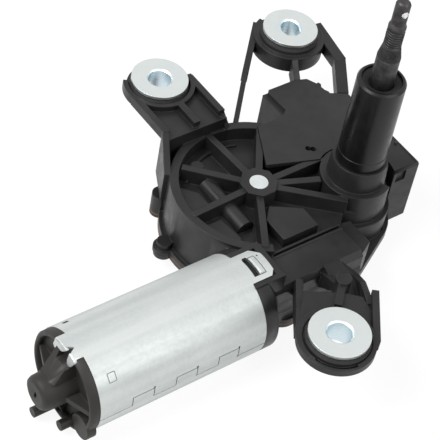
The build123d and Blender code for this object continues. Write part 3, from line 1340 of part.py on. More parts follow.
def make_contact_springs():
    """Three leaf contacts that reach down from the board to the contact ring."""
    tip_z = GEAR_TOP + CONTACT_RING_THICKNESS + 0.1
    with BuildPart() as springs:
        for spot in ((-26.0, 25.9), (-23.1, 24.0), (-20.2, 22.1)):
            side_plane = Plane(origin=(*spot, 0), x_dir=(0.524, 0.852, 0), z_dir=(0.852, -0.524, 0))
            with BuildSketch(side_plane) as leaf:
                with BuildLine():
                    Polyline(
                        (0, tip_z + 1),
                        (0.8, tip_z),
                        (1.6, tip_z),
                        (9.5, BOARD_BOTTOM - 0.4),
                        (12.5, BOARD_BOTTOM - 0.4),
                        (12.5, BOARD_BOTTOM),
                        (9.3, BOARD_BOTTOM),
                        (1.4, tip_z + 0.4),
                        (1.0, tip_z + 0.4),
                        (0.3, tip_z + 1.2),
                        close=True,
                    )
                make_face()
            extrude(leaf.sketch, amount=1.1, both=True)
    return springs


def make_connector_housing():
    """Plug socket beside the spindle tower, open towards +X."""
    left, right = 6, BOX_RIGHT_X + 1.7
    mid_y = (CONNECTOR_FRONT_Y + CONNECTOR_Y) / 2
    mid_z = (CONNECTOR_TOP + CONNECTOR_BOTTOM) / 2
    wall = CONNECTOR_WALL
    with BuildPart() as connector:
        with BuildSketch(Plane(origin=(left, mid_y, mid_z), x_dir=(0, 1, 0), z_dir=(1, 0, 0))) as block:
            RectangleRounded(CONNECTOR_Y - CONNECTOR_FRONT_Y, CONNECTOR_TOP - CONNECTOR_BOTTOM, 1.2)
        extrude(block.sketch, amount=right - left)
        with BuildSketch(Plane(origin=(right, mid_y, mid_z), x_dir=(0, 1, 0), z_dir=(1, 0, 0))) as mouth:
            RectangleRounded(
                CONNECTOR_Y - CONNECTOR_FRONT_Y - 2 * wall, CONNECTOR_TOP - CONNECTOR_BOTTOM - 2 * wall, 0.8
            )
        extrude(mouth.sketch, amount=-SOCKET_DEPTH, mode=Mode.SUBTRACT)
        # latch recesses high on the near side
        for start_x, end_x, bottom in ((14.3, 16.4, -20.5), (18.4, 24.0, -18.5)):
            corners = [(start_x, CONNECTOR_FRONT_Y - 1), (end_x, CONNECTOR_FRONT_Y - 1)]
            corners += [(end_x, CONNECTOR_FRONT_Y + 1.1), (start_x, CONNECTOR_FRONT_Y + 1.1)]
            raise_outline(corners, bottom, CONNECTOR_TOP - 1.2, Mode.SUBTRACT)
        raise_disc((0, 0), BAY_R + COVER_FIT, FOOT_Z, CONNECTOR_TOP, Mode.SUBTRACT)
        raise_disc((0, 0), BAY_FOOT_R + COVER_FIT, CONNECTOR_BOTTOM, FOOT_Z + FOOT_THICKNESS + COVER_FIT, Mode.SUBTRACT)
    return connector


def make_connector_pins():
    """Row of flat pins in the socket."""
    back_x = BOX_RIGHT_X + 1.7 - SOCKET_DEPTH
    mid_y = (CONNECTOR_FRONT_Y + CONNECTOR_Y) / 2
    mid_z = (CONNECTOR_TOP + CONNECTOR_BOTTOM) / 2
    with BuildPart() as pins:
        with BuildSketch(Plane(origin=(back_x, mid_y, mid_z), x_dir=(0, 1, 0), z_dir=(1, 0, 0))) as row:
            with GridLocations(1, 5, 1, 5):
                Rectangle(0.8, 2.4)
        extrude(row.sketch, amount=SOCKET_DEPTH - 2.5)
    return pins


os.makedirs("parts", exist_ok=True)
save(make_gear_housing(), "gear_housing")
for mount_name, mount_centre in (("left", LEFT_MOUNT), ("front", FRONT_MOUNT), ("top", TOP_MOUNT)):
    save(make_sleeve(mount_centre, mount_centre == TOP_MOUNT), f"sleeve_{mount_name}")
    save(make_grommet(mount_centre), f"grommet_{mount_name}")
save(make_lower_washers(), "lower_washers")
save(make_cover_gasket(), "cover_gasket")
save(make_rear_cover(), "rear_cover")
save(make_cover_screws(), "cover_screws")
save(make_spindle_neck(), "spindle_neck")
save(make_spindle_seal(), "spindle_seal")
save(make_spindle(), "spindle")
bush_bore = SPINDLE_R + RUNNING_CLEARANCE
save(ring((0, 0), SPINDLE_BUSH_R, bush_bore, LEVER_TOP + SWEEP_GAP, LOWER_BUSH_TOP), "spindle_bush_lower")
save(ring((0, 0), SPINDLE_BUSH_R, bush_bore, UPPER_BUSH_BOTTOM, UPPER_BUSH_TOP), "spindle_bush_upper")
retainer_top = RETAINER_GROOVE + RETAINER_THICKNESS
save(ring((0, 0), RETAINER_R, RETAINER_INNER_R, RETAINER_GROOVE, retainer_top), "spindle_retaining_ring")
save(make_output_lever(), "output_lever")
save(make_lever_pin(), "lever_pin")
save(make_connecting_link(), "connecting_link")
save(make_crank_pin(), "crank_pin")
save(make_worm_gear(), "worm_gear")
save(make_contact_ring(), "contact_ring")
save(make_gear_axle(), "gear_axle")
axle_ring_top = GEAR_HUB_BOTTOM - RUNNING_CLEARANCE
save(ring(GEAR_AXIS, AXLE_RING_R, AXLE_GROOVE_R, axle_ring_top - AXLE_RING_THICKNESS, axle_ring_top), "axle_retaining_ring")
save(make_armature_shaft(), "armature_shaft")
save(make_armature_core(), "armature_core")
save(make_armature_windings(), "armature_windings")
save(make_commutator(), "commutator")
save(make_motor_can(), "motor_can")
save(make_end_cap(), "end_cap")
save(make_field_magnets(), "field_magnets")
save(make_brush_holder(), "brush_holder")
save(make_brushes(), "brushes")
save(make_brush_springs(), "brush_springs")
save(make_choke_coils(), "choke_coils")
shaft_bore = SHAFT_R + RUNNING_CLEARANCE
rear_bearing_x = SHAFT_REAR_X - 0.5
save(bush_on_shaft(rear_bearing_x, rear_bearing_x + REAR_BEARING_LENGTH, REAR_BEARING_R, shaft_bore), "rear_bearing")
save(bush_on_shaft(CAN_FRONT_X + 3, BEARING_END_X, BEARING_R, shaft_bore), "front_bearing")
save(bush_on_shaft(END_BUSH_X, END_BUSH_X + 8, END_BUSH_R, SHAFT_TAIL_R + RUNNING_CLEARANCE), "worm_end_bush")
save(make_thrust_pad(), "thrust_pad")
save(make_electronics_cover(), "electronics_cover")
save(make_control_board(), "control_board")
save(make_contact_springs(), "contact_springs")
save(make_connector_housing(), "connector_housing")
save(make_connector_pins(), "connector_pins")
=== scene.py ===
# %% [markdown]
# # Rear wiper motor
# A geared motor turns a wiper spindle. The plastic gear housing, the drawn steel can and the
# turned spindle come from the CAD frame. These cells give them their finishes, and make what
# the solids leave plain: the thread and serrations of the spindle, the star recesses of the
# screws, the seam of the can and the mould marks. Blender measures in metres, so a length in
# millimetres is written times MM. Loading the frame first gives every part its place, and the
# box of the solids is kept to set the floor under them at the end.

# %% Load the frame
import math

import bmesh
import bpy
from mathutils import Matrix, Vector


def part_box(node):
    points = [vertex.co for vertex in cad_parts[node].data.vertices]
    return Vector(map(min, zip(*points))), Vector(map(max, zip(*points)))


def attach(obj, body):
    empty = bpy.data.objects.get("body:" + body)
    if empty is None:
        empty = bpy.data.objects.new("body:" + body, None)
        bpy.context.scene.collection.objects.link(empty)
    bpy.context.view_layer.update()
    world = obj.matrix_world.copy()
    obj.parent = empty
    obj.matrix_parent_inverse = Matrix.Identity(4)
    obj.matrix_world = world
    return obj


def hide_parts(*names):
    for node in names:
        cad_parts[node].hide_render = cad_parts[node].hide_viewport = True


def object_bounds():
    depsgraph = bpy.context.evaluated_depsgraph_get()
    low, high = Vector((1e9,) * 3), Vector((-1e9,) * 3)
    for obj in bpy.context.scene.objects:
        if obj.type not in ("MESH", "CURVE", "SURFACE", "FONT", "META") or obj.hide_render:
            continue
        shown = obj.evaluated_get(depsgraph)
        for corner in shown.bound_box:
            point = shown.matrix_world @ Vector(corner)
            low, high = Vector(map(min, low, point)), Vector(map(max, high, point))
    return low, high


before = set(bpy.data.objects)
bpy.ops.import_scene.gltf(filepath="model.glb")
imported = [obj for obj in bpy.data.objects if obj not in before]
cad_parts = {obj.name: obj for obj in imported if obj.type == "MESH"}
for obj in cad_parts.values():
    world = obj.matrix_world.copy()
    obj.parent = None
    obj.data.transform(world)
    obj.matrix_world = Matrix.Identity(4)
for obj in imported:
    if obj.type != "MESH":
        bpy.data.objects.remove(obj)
cad_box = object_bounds()
MM = 0.001
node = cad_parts

# %% [markdown]
# The camera looks down at the motor from the end cap's side, with a long lens, so that the
# lines of the can stay almost parallel. Three angles could turn it, but two directions are
# easier to read: where the picture's right and its up point to. Their cross product is the
# third, and the three together are the rotation that Blender wants.


# %% Camera
def place_camera(eye, right, up, lens):
    """Puts a camera at a point, with its picture's right and up along two directions."""
    right, up = Vector(right).normalized(), Vector(up).normalized()
    back = right.cross(up)
    lens_data = bpy.data.cameras.new("camera")
    lens_data.lens, lens_data.sensor_width = lens, 36.0
    lens_data.clip_start, lens_data.clip_end = 0.05, 20.0
    camera = bpy.data.objects.new("camera", lens_data)
    bpy.context.scene.collection.objects.link(camera)
    turned = Matrix((right, up, back)).transposed().to_4x4()
    camera.matrix_world = Matrix.Translation(eye) @ turned
    bpy.context.scene.camera = camera
    return camera


camera = place_camera(
    (-0.418165, -0.356055, 0.513650),
    (0.807767, -0.572611, 0.140102),
    (0.344172, 0.651042, 0.676528),
    139.0909,
)
print("camera:", [round(x, 3) for x in camera.location], "lens", camera.data.lens)

# %% [markdown]
# A shader's maths could be wired node by node, but it reads best as a formula. A Wire wraps
# one output socket, and adding, subtracting, multiplying, dividing or raising wires adds Math
# nodes. Nodes.node makes every other kind of node, in a material, a world or a modifier.


# %% Wires and nodes
class Wire:
    """One output socket that can be used in a formula."""

    def __init__(self, maker, socket):
        self.maker, self.socket = maker, socket

    def maths(self, operation, *values):
        settings = {"operation": operation}
        return self.maker.node("ShaderNodeMath", settings, dict(enumerate(values)))

    def __add__(self, other):
        return self.maths("ADD", self, other)

    def __radd__(self, other):
        return self.maths("ADD", other, self)

    def __sub__(self, other):
        return self.maths("SUBTRACT", self, other)

    def __rsub__(self, other):
        return self.maths("SUBTRACT", other, self)

    def __mul__(self, other):
        return self.maths("MULTIPLY", self, other)

    def __rmul__(self, other):
        return self.maths("MULTIPLY", other, self)

    def __truediv__(self, other):
        return self.maths("DIVIDE", self, other)

    def __rtruediv__(self, other):
        return self.maths("DIVIDE", other, self)

    def __pow__(self, other):
        return self.maths("POWER", self, other)

    def __rpow__(self, other):
        return self.maths("POWER", other, self)


class Nodes:
    """Adds nodes to a node tree and links them."""

    def __init__(self, tree):
        self.tree = tree

    def link(self, value, socket):
        """Links a wire, or each wire of a list, to a socket, or sets it to a plain value."""
        if isinstance(value, list):
            for wire in value:
                self.link(wire, socket)
        elif isinstance(value, Wire):
            self.tree.links.new(value.socket, socket)
        else:
            socket.default_value = value

    def node(self, kind, settings=(), values=(), output=0):
        """Adds a node, sets its settings, fills its sockets and returns one output."""
        made = self.tree.nodes.new(kind)
        for key, value in dict(settings).items():
            setattr(made, key, value)
        for key, value in dict(values).items():
            self.link(value, made.inputs[key])
        return Wire(self, made.outputs[output])


print("reflected operators:", [name for name in vars(Wire) if name.startswith("__r")])

# %% [markdown]
# A material starts from the Principled shader, which stands for plastic as well as metal. A
# Finish keeps the few moves that all the materials here share: noise at a size in metres, a
# blend of two colours, a stretched range, and a relief over softened edges. Every pattern
# reads Object coordinates, so it needs no unwrapping and stays put when a part moves.


# %% Finishes
BEVEL_SAMPLES = 6


class Finish(Nodes):
    """A material and its node tree."""

    def __init__(self, name, **sockets):
        self.material = bpy.data.materials.new(name)
        self.material.use_nodes = True
        super().__init__(self.material.node_tree)
        self.shader = self.tree.nodes["Principled BSDF"]
        self.fed = {}
        for socket, value in sockets.items():
            self.feed(socket.replace("_", " "), value)

    def feed(self, socket, value):
        """Gives the shader a value or a wire, and remembers it."""
        self.fed[socket] = value
        self.link(value, self.shader.inputs[socket])

    def place(self):
        """Object coordinates, in metres."""
        return self.node("ShaderNodeTexCoord", output="Object")

    def noise(self, place, size, detail=3.0, roughness=0.55):
        """Soft noise whose blotches are about size metres across."""
        values = {"Vector": place, "Scale": 1 / size, "Detail": detail, "Roughness": roughness}
        return self.node("ShaderNodeTexNoise", {}, values)

    def blend(self, share, first, second):
        """A colour between two colours."""
        settings = {"data_type": "RGBA"}
        return self.node("ShaderNodeMix", settings, {0: share, 6: first, 7: second}, 2)

    def stretch(self, value, low, high, new_low, new_high):
        """Maps a range of a value on to another, and holds it there."""
        values = dict(enumerate((value, low, high, new_low, new_high)))
        return self.node("ShaderNodeMapRange", {"clamp": True}, values)

    def relief(self, height, depth, edge=0.0):
        """Feeds a height to the normal, over edges that are softened by a radius."""
        values = {"Height": height, "Distance": depth, "Strength": 1.0}
        if edge:
            settings = {"samples": BEVEL_SAMPLES}
            values["Normal"] = self.node("ShaderNodeBevel", settings, {"Radius": edge})
        self.feed("Normal", self.node("ShaderNodeBump", {}, values))


def colour(red, green, blue):
    """A colour with full alpha."""
    return (red, green, blue, 1.0)


def dress(finishes):
    """Gives CAD nodes their materials."""
    for name, material in finishes.items():
        node[name].data.materials[0] = material
    print("dressed:", len(finishes), "nodes, such as", next(iter(finishes)))


print("finishes ready, edges softened with", BEVEL_SAMPLES, "samples")

# %% [markdown]
# The housing, cap and connector are moulded from black glass-filled nylon. Such plastic is
# never pure black: it is a dark grey with cloudy flow marks, a sparkle-fine grain, and edges
# that a mould leaves rounded by a few tenths of a millimetre, which catch the light. Real
# fillets on every edge would be heavy, so the Bevel node rounds the shading alone. Where a
# pin of the mould met the plastic, the grain is rubbed smoother in streaks.


# %% Moulded black plastics
PIN_ROUGH = 0.14


def moulded(name, dark, light, rough, edge=0.45 * MM, grain=0.03 * MM, polished=()):
    """Glass-filled plastic between two greys, with grain, flow marks and rounded edges.

    The polished spots are places and radii, in millimetres, where a pin of the mould left a
    smoother patch.
    """
    finish = Finish(name, Specular_IOR_Level=0.33)
    place = finish.place()
    cloud = finish.noise(place, 14 * MM, 4.0)
    fine = finish.noise(place, 0.5 * MM, 2.0)
    share = finish.stretch(cloud * 0.75 + fine * 0.25, 0.32, 0.68, 0.0, 1.0)
    finish.feed("Base Color", finish.blend(share, colour(*dark), colour(*light)))
    rub = finish.noise(place, 5 * MM, 5.0, 0.65)
    dull = finish.stretch(rub, 0.3, 0.7, rough - 0.07, rough + 0.09)
    if polished:
        rubbed = finish.noise(place, 1.1 * MM, 3.0)
        streaks = finish.stretch(rubbed, 0.42, 0.56, 0.0, 1.0)
    for spot, radius in polished:
        values = {0: place, 1: tuple(x * MM for x in spot)}
        reach = finish.node("ShaderNodeVectorMath", {"operation": "DISTANCE"}, values, 1)
        smooth = finish.stretch(reach, radius * 0.6 * MM, radius * MM, 1.0, 0.0) * streaks
        dull = dull - smooth * (rough - PIN_ROUGH)
    finish.feed("Roughness", dull)
    finish.relief(fine * 0.6 + finish.noise(place, 1.6 * MM, 3.0) * 0.4, grain, edge)
    return finish.material


def grey(level):
    """A neutral grey."""
    return (level, level, level)


PIN_MARKS = [
    ((-48.0, -50.4, -4.5), 4.2),
    ((-55.0, 41.0, -18.5), 4.2),
    ((-57.5, 2.5, -18.0), 4.5),
]
black_nylon = moulded(
    "black_nylon", grey(0.009), grey(0.019), 0.40, 0.6 * MM, polished=PIN_MARKS
)
cap_nylon = moulded("cap_nylon", (0.016, 0.015, 0.014), (0.029, 0.027, 0.025), 0.52)
box_nylon = moulded("box_nylon", grey(0.014), grey(0.023), 0.5, 0.3 * MM)
neck_black = moulded("neck_black", grey(0.003), grey(0.006), 0.31, 0.4 * MM, 0.012 * MM)
mount_rubber = moulded("mount_rubber", grey(0.010), grey(0.018), 0.68, 0.4 * MM)
dress({
    "gear_housing": black_nylon,
    "end_cap": cap_nylon,
    "electronics_cover": box_nylon,
    "connector_housing": box_nylon,
    "spindle_neck": neck_black,
    "grommet_left": mount_rubber,
    "grommet_front": mount_rubber,
    "grommet_top": mount_rubber,
    "spindle_seal": mount_rubber,
})

# %% [markdown]
# The sleeves, washers and screws are zinc plated and blue passivated: the faces look almost
# white. One colour would look like paint, so the film is a cloudy blend of two tints, and the
# same noise makes it a little duller where it is thicker.


# %% Zinc plate
def plated(name, pale, tint, rough, spangle):
    """Zinc on steel, with a cloudy tint and a fine matt grain."""
    finish = Finish(name, Metallic=1.0)
    place = finish.place()
    cloud = finish.noise(place, spangle, 3.0)
    share = finish.stretch(cloud, 0.35, 0.7, 0.0, 1.0)
    finish.feed("Base Color", finish.blend(share, colour(*pale), colour(*tint)))
    fine = finish.noise(place, 0.35 * MM, 3.0)
    rub = fine + cloud * 0.6
    finish.feed("Roughness", finish.stretch(rub, 0.5, 1.1, rough - 0.05, rough + 0.1))
    finish.relief(fine, 0.006 * MM, 0.25 * MM)
    return finish


zinc = plated("blue_zinc", (0.70, 0.73, 0.72), (0.63, 0.68, 0.69), 0.36, 3.0 * MM).material
dress({"lower_washers": zinc})

# %% [markdown]
# A sleeve is bored to take a body stud, and its bore keeps a colder blue film and the rings
# that the reamer left. The bore could have a material of its own, but the distance from the
# sleeve's axis tells bore from face just as well, and the two tints then run into each other.

# %% Sleeves with blued bores
BORE_R = 5.9 * MM
BORE_BLEND = 0.5 * MM
REAMER_RINGS = {"Scale": 320.0, "Distortion": 1.5, "Detail": 2.0}


def sleeve_zinc(name):
    """Pale zinc whose bore keeps a bluer film and the rings of its reamer."""
    low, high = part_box(name)
    finish = plated(name + "_zinc", (0.70, 0.735, 0.72), (0.655, 0.70, 0.70), 0.38, 5.0 * MM)
    place = finish.place()
    across = finish.node("ShaderNodeSeparateXYZ", {}, {0: place}, "X") - (low.x + high.x) / 2
    along = finish.node("ShaderNodeSeparateXYZ", {}, {0: place}, "Y") - (low.y + high.y) / 2
    reach = (across * across + along * along) ** 0.5
    bore = finish.stretch(reach, BORE_R - BORE_BLEND, BORE_R, 1.0, 0.0)
    settings = {"bands_direction": "Z"}
    rings = finish.node("ShaderNodeTexWave", settings, {"Vector": place, **REAMER_RINGS}, 1)
    blue = finish.blend(rings, colour(0.58, 0.71, 0.77), colour(0.78, 0.87, 0.90))
    finish.feed("Base Color", finish.blend(bore, finish.fed["Base Color"], blue))
    return finish.material


dress({name: sleeve_zinc(name) for name in ("sleeve_left", "sleeve_front", "sleeve_top")})

# %% [markdown]
# The can is galvanised sheet, a satin grey with a faint spangle and fine lines along the way
# it was drawn, and soft light and dark bands along it that are painted reflections of the
# lamps. Noise is round, so a Mapping node stretches it along the can into bands and fine
# lines. The rear cover is sheet with a black dipped coat.


# %% Drawn can and dipped cover
def drawn_can(name):
    """Galvanised sheet with painted reflection bands and fine drawing lines along the can."""
    finish = Finish(name, Metallic=0.8)
    place = finish.place()

    def drawn(along, across):
        """Coordinates that stretch a noise along the can."""
        values = {"Vector": place, "Scale": (1 / along, 1 / across, 1 / across)}
        return finish.node("ShaderNodeMapping", {"vector_type": "POINT"}, values)

    lines = finish.noise(drawn(30 * MM, 0.9 * MM), 1.0, 2.0)
    # Painted reflection: broad soft bands along the can stand in for the lamps' reflections on
    # it.
    painted_reflection_bands = finish.noise(drawn(160 * MM, 7 * MM), 1.0, 1.0)
    cloud = finish.noise(place, 12 * MM, 4.0)
    flakes = finish.noise(place, 1.6 * MM, 2.0)
    share = finish.stretch(
        painted_reflection_bands * 0.65 + cloud * 0.15 + flakes * 0.1 + lines * 0.1, 0.40, 0.60, 0.0, 1.0
    )
    pale, dull = colour(0.61, 0.64, 0.625), colour(0.50, 0.53, 0.525)
    finish.feed("Base Color", finish.blend(share, pale, dull))
    finish.feed("Roughness", finish.stretch(flakes + painted_reflection_bands, 0.7, 1.3, 0.48, 0.62))
    finish.relief(lines * 0.4 + flakes * 0.6, 0.006 * MM, 0.3 * MM)
    return finish.material


can_sheet = drawn_can("galvanised_can")
coated = Finish("black_dipped_sheet", Metallic=0.0, Specular_IOR_Level=0.4)
cloud = coated.noise(coated.place(), 7 * MM, 4.0)
dipped, worn = colour(0.012, 0.012, 0.013), colour(0.026, 0.025, 0.025)
coated.feed("Base Color", coated.blend(cloud, dipped, worn))
coated.feed("Roughness", coated.stretch(cloud, 0.3, 0.7, 0.34, 0.5))
coated.relief(coated.noise(coated.place(), 0.9 * MM, 2.0), 0.02 * MM, 0.3 * MM)
dress({"rear_cover": coated.material})

# %% [markdown]
# Every other piece gets the finish of its own trade: ground steel, oiled sintered bronze,
# acetal gear plastic, ferrite, enamelled copper, a fibre gasket and a lacquered board. They
# differ in colour, shine and grain but not in kind, so one function makes them all from a row
# of numbers: the two colours, the roughness, the patch size, the metallic share and the grain.


# %% Plain metals and the small trades
def metal(name, dark, light, rough, patch=2.0 * MM, metallic=1.0, grain=0.01 * MM):
    """A metal or mineral between two colours, with a fine worked grain."""
    finish = Finish(name, Metallic=metallic)
    place = finish.place()
    cloud = finish.noise(place, patch, 4.0, 0.6)
    share = finish.stretch(cloud, 0.35, 0.65, 0.0, 1.0)
    finish.feed("Base Color", finish.blend(share, colour(*dark), colour(*light)))
    fine = finish.noise(place, 0.3 * MM, 2.0)
    finish.feed("Roughness", finish.stretch(fine, 0.3, 0.7, rough - 0.06, rough + 0.08))
    finish.relief(fine, grain, 0.2 * MM)
    return finish.material


dark_steel = metal(
    "phosphated_steel", (0.050, 0.048, 0.048), (0.090, 0.086, 0.085), 0.48, 3.0 * MM
)
# Painted shade: a dark grey for the walls and floors of the can's seam, stamp, vent and slot
# cuts, standing in for the shade that falls in them.
groove_shade = metal("shadowed_edge", grey(0.14), grey(0.30), 0.5, 1.0 * MM, 0.6)
bare_steel = metal(
    "bare_steel", (0.92, 0.92, 0.91), (0.98, 0.98, 0.97), 0.12, 2.0 * MM, 1.0, 0.0
)
axle_face = metal("plated_axle", (0.64, 0.67, 0.67), (0.70, 0.73, 0.73), 0.5, 4.0 * MM)
ground_steel = metal("ground_steel", grey(0.50), (0.64, 0.64, 0.63), 0.25)
pressed_steel = metal("pressed_steel", grey(0.34), (0.48, 0.48, 0.47), 0.36)
spring_steel = metal("blued_spring", (0.16, 0.17, 0.20), (0.26, 0.27, 0.30), 0.3)
bronze = metal(
    "sintered_bronze", (0.30, 0.20, 0.10), (0.48, 0.34, 0.19), 0.5, 0.4 * MM, 1.0, 0.03 * MM
)
brass = metal("contact_brass", (0.62, 0.46, 0.20), (0.76, 0.60, 0.30), 0.26)
copper = metal("copper_bars", (0.60, 0.28, 0.17), (0.74, 0.40, 0.27), 0.3)
enamel = metal("enamelled_wire", (0.42, 0.13, 0.05), (0.60, 0.22, 0.09), 0.28, 1.0 * MM)
laminate = metal("lamination_steel", (0.16, 0.16, 0.17), (0.26, 0.26, 0.27), 0.45, 0.5 * MM)
ferrite = metal(
    "ferrite", (0.045, 0.045, 0.048), (0.085, 0.085, 0.09), 0.6, 1.5 * MM, 0.0, 0.03 * MM
)
carbon = metal("carbon_brush", grey(0.02), grey(0.05), 0.5, 1.0 * MM, 0.2)
acetal = metal("gear_acetal", (0.66, 0.63, 0.54), (0.80, 0.77, 0.69), 0.42, 8.0 * MM, 0.0)
phenolic = metal(
    "brown_phenolic", (0.09, 0.045, 0.02), (0.15, 0.08, 0.04), 0.42, 3.0 * MM, 0.0
)
gasket = metal(
    "fibre_gasket", (0.10, 0.045, 0.02), (0.19, 0.10, 0.055), 0.75, 1.0 * MM, 0.0, 0.03 * MM
)
lacquer = metal(
    "board_lacquer", (0.01, 0.10, 0.04), (0.02, 0.17, 0.07), 0.25, 6.0 * MM, 0.0
)
dress({
    "spindle": dark_steel,
    "gear_axle": axle_face,
    "armature_shaft": ground_steel,
    "crank_pin": ground_steel,
    "lever_pin": ground_steel,
    "output_lever": pressed_steel,
    "connecting_link": pressed_steel,
    "spindle_retaining_ring": spring_steel,
    "axle_retaining_ring": spring_steel,
    "brush_springs": spring_steel,
    "spindle_bush_lower": bronze,
    "spindle_bush_upper": bronze,
    "rear_bearing": bronze,
    "front_bearing": bronze,
    "worm_end_bush": bronze,
    "contact_ring": brass,
    "contact_springs": brass,
    "connector_pins": brass,
    "commutator": copper,
    "armature_windings": enamel,
    "choke_coils": enamel,
    "armature_core": laminate,
    "field_magnets": ferrite,
    "brushes": carbon,
    "worm_gear": acetal,
    "thrust_pad": acetal,
    "brush_holder": phenolic,
    "cover_gasket": gasket,
    "control_board": lacquer,
})

# %% [markdown]
# A lathe turns an outline into a round part. The Screw modifier would do the same, but a few
# lines of bmesh give closed poles and one clean skin, and the drill below needs the same
# helper. A modifier's result is taken as a plain mesh, because the export wants it so.


# %% Lathe helpers
def new_object(name, mesh, material):
    """An object at the origin with one material."""
    made = bpy.data.objects.new(name, mesh)
    bpy.context.scene.collection.objects.link(made)
    mesh.materials.clear()
    mesh.materials.append(material)
    return made


def turned_mesh(name, profile, segments):
    """Spins a closed outline of (radius, z) points, in millimetres, about Z."""
    work = bmesh.new()
    turns = [2 * math.pi * n / segments for n in range(segments)]
    rows = []
    for radius, z in profile:
        if radius == 0:
            rows.append([work.verts.new((0, 0, z * MM))])
            continue
        reach = radius * MM
        rows.append([
            work.verts.new((reach * math.cos(a), reach * math.sin(a), z * MM)) for a in turns
        ])
    for low, high in zip(rows, rows[1:]):
        for n in range(segments):
            m = (n + 1) % segments
            lower = [low[n % len(low)], low[m % len(low)]]
            upper = [high[m % len(high)], high[n % len(high)]]
            work.faces.new(list(dict.fromkeys(lower + upper)))
    bmesh.ops.recalc_face_normals(work, faces=work.faces)
    mesh = bpy.data.meshes.new(name)
    work.to_mesh(mesh)
    work.free()
    return mesh


def evaluated(made):
    """Replaces an object's mesh by what its modifiers give, and removes them."""
    bpy.context.view_layer.update()
    graph = bpy.context.evaluated_depsgraph_get()
    mesh = bpy.data.meshes.new_from_object(made.evaluated_get(graph))
    made.modifiers.clear()
    mesh.validate()
    made.data = mesh
    mesh.name = made.name
    return made


print("lathe ready")

# %% [markdown]
# The spindle is turned steel: a shaft, a cone, the core of the thread and the tip. The solid
# in the frame has nearly the same outline, and this piece replaces it, because the thread and
# the serrations need a core of their own. A drill goes through the tip, so a boolean cuts
# that hole, and the faces it leaves are the only bright ones.


# %% Turned spindle
TIP_HOLE_Z = 83.6
TIP_HOLE_R = 1.6
TIP_HOLE_WAY = Vector((0.167, 0.986, 0))
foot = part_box("spindle")[0].z / MM
spindle_profile = [
    (0, foot), (4.6, foot), (5.15, foot + 0.5), (5.15, 40.2), (4.5, 40.2), (4.5, 41.2),
    (5.15, 41.2), (5.15, 58.6), (4.95, 59.1), (3.75, 64.9), (3.55, 65.3), (3.55, 74.3),
    (3.88, 74.7), (3.88, 75.8), (3.25, 77.4), (3.25, 87.0), (2.9, 87.8), (2.05, 88.5),
    (0, 88.5),
]
drill_profile = [(0, -6), (TIP_HOLE_R, -6), (TIP_HOLE_R, 6), (0, 6)]
turned = turned_mesh("spindle_turned", spindle_profile, 96)
spindle = new_object("spindle_turned", turned, dark_steel)
drill = new_object("drill", turned_mesh("drill", drill_profile, 48), bare_steel)
hole_middle = Vector((0, 0, TIP_HOLE_Z * MM))
lie_along = TIP_HOLE_WAY.to_track_quat("Z", "Y").to_matrix().to_4x4()
drill.data.transform(Matrix.Translation(hole_middle) @ lie_along)
cut = spindle.modifiers.new("cross_hole", "BOOLEAN")
cut.object, cut.operation, cut.solver = drill, "DIFFERENCE", "EXACT"
evaluated(spindle)
bpy.data.objects.remove(drill)
spindle.data.materials.append(bare_steel)
for face in spindle.data.polygons:
    place = face.center - hole_middle
    reach = (place - TIP_HOLE_WAY * place.dot(TIP_HOLE_WAY)).length
    across = abs(face.normal.dot(TIP_HOLE_WAY)) < 0.1
    face.material_index = int(across and reach < (TIP_HOLE_R + 0.02) * MM)
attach(spindle, "spindle")
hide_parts("spindle")
print("spindle:", len(spindle.data.polygons), "faces")

# %% [markdown]
# A rolled thread and a ring of serrations both repeat by a rule, so Geometry Nodes make them,
# and a change of pitch or count is a change of one input. Grower builds a tree from calls, as
# Finish does for a material. Each tree ends in Realize Instances and Set Material, since the
# export drops instances, and the result is taken as a plain mesh.


# %% Grower
class Grower(Nodes):
    """A Geometry Nodes tree: its first input, Places, is the mesh of the object itself."""

    def __init__(self, name, **sizes):
        super().__init__(bpy.data.node_groups.new(name, "GeometryNodeTree"))
        self.sizes, self.keys = sizes, {}
        self.socket("Geometry", "Geometry", "OUTPUT")
        self.socket("Places", "Geometry")
        for size, value in sizes.items():
            self.keys[size] = self.socket(size, "Int" if isinstance(value, int) else "Float")
        self.inputs = self.tree.nodes.new("NodeGroupInput")
        self.outputs = self.tree.nodes.new("NodeGroupOutput")

    def socket(self, name, kind, way="INPUT"):
        """Adds a socket to the tree and returns its identifier."""
        kind = "NodeSocket" + kind
        return self.tree.interface.new_socket(name, in_out=way, socket_type=kind).identifier

    def size(self, name):
        """The wire of a named input."""
        return Wire(self, self.inputs.outputs[name])

    def grow(self, name, shape, material, body, slot, points=None):
        """Realizes the shape as a plain mesh that rides on a body."""
        real = self.node("GeometryNodeRealizeInstances", {}, {0: shape})
        values = {"Geometry": real, "Material": material}
        self.link(self.node("GeometryNodeSetMaterial", {}, values), self.outputs.inputs[0])
        made = new_object(name, points or bpy.data.meshes.new(name), material)
        grown = made.modifiers.new("grow", "NODES")
        grown.node_group = self.tree
        for size, value in self.sizes.items():
            grown[self.keys[size]] = value
        evaluated(made)
        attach(made, body)
        print(name, len(made.data.polygons), "faces")
        return made


print("grower ready")

# %% [markdown]
# The thread's crest is a small square ridge swept along a helix round the turned core: a true
# cut thread would need the same sweep and a boolean on top. The serrations, which grip the
# wiper arm, are one long thin wedge that leans with the cone, set many times round the axis.


# %% Thread and serrations
THREAD_FOOT = 65.4 * MM
CONE_FALL, CONE_LENGTH = -1.2, 5.8
WEDGE_MIDDLE = (4.98 * MM, 0, 59.0 * MM)


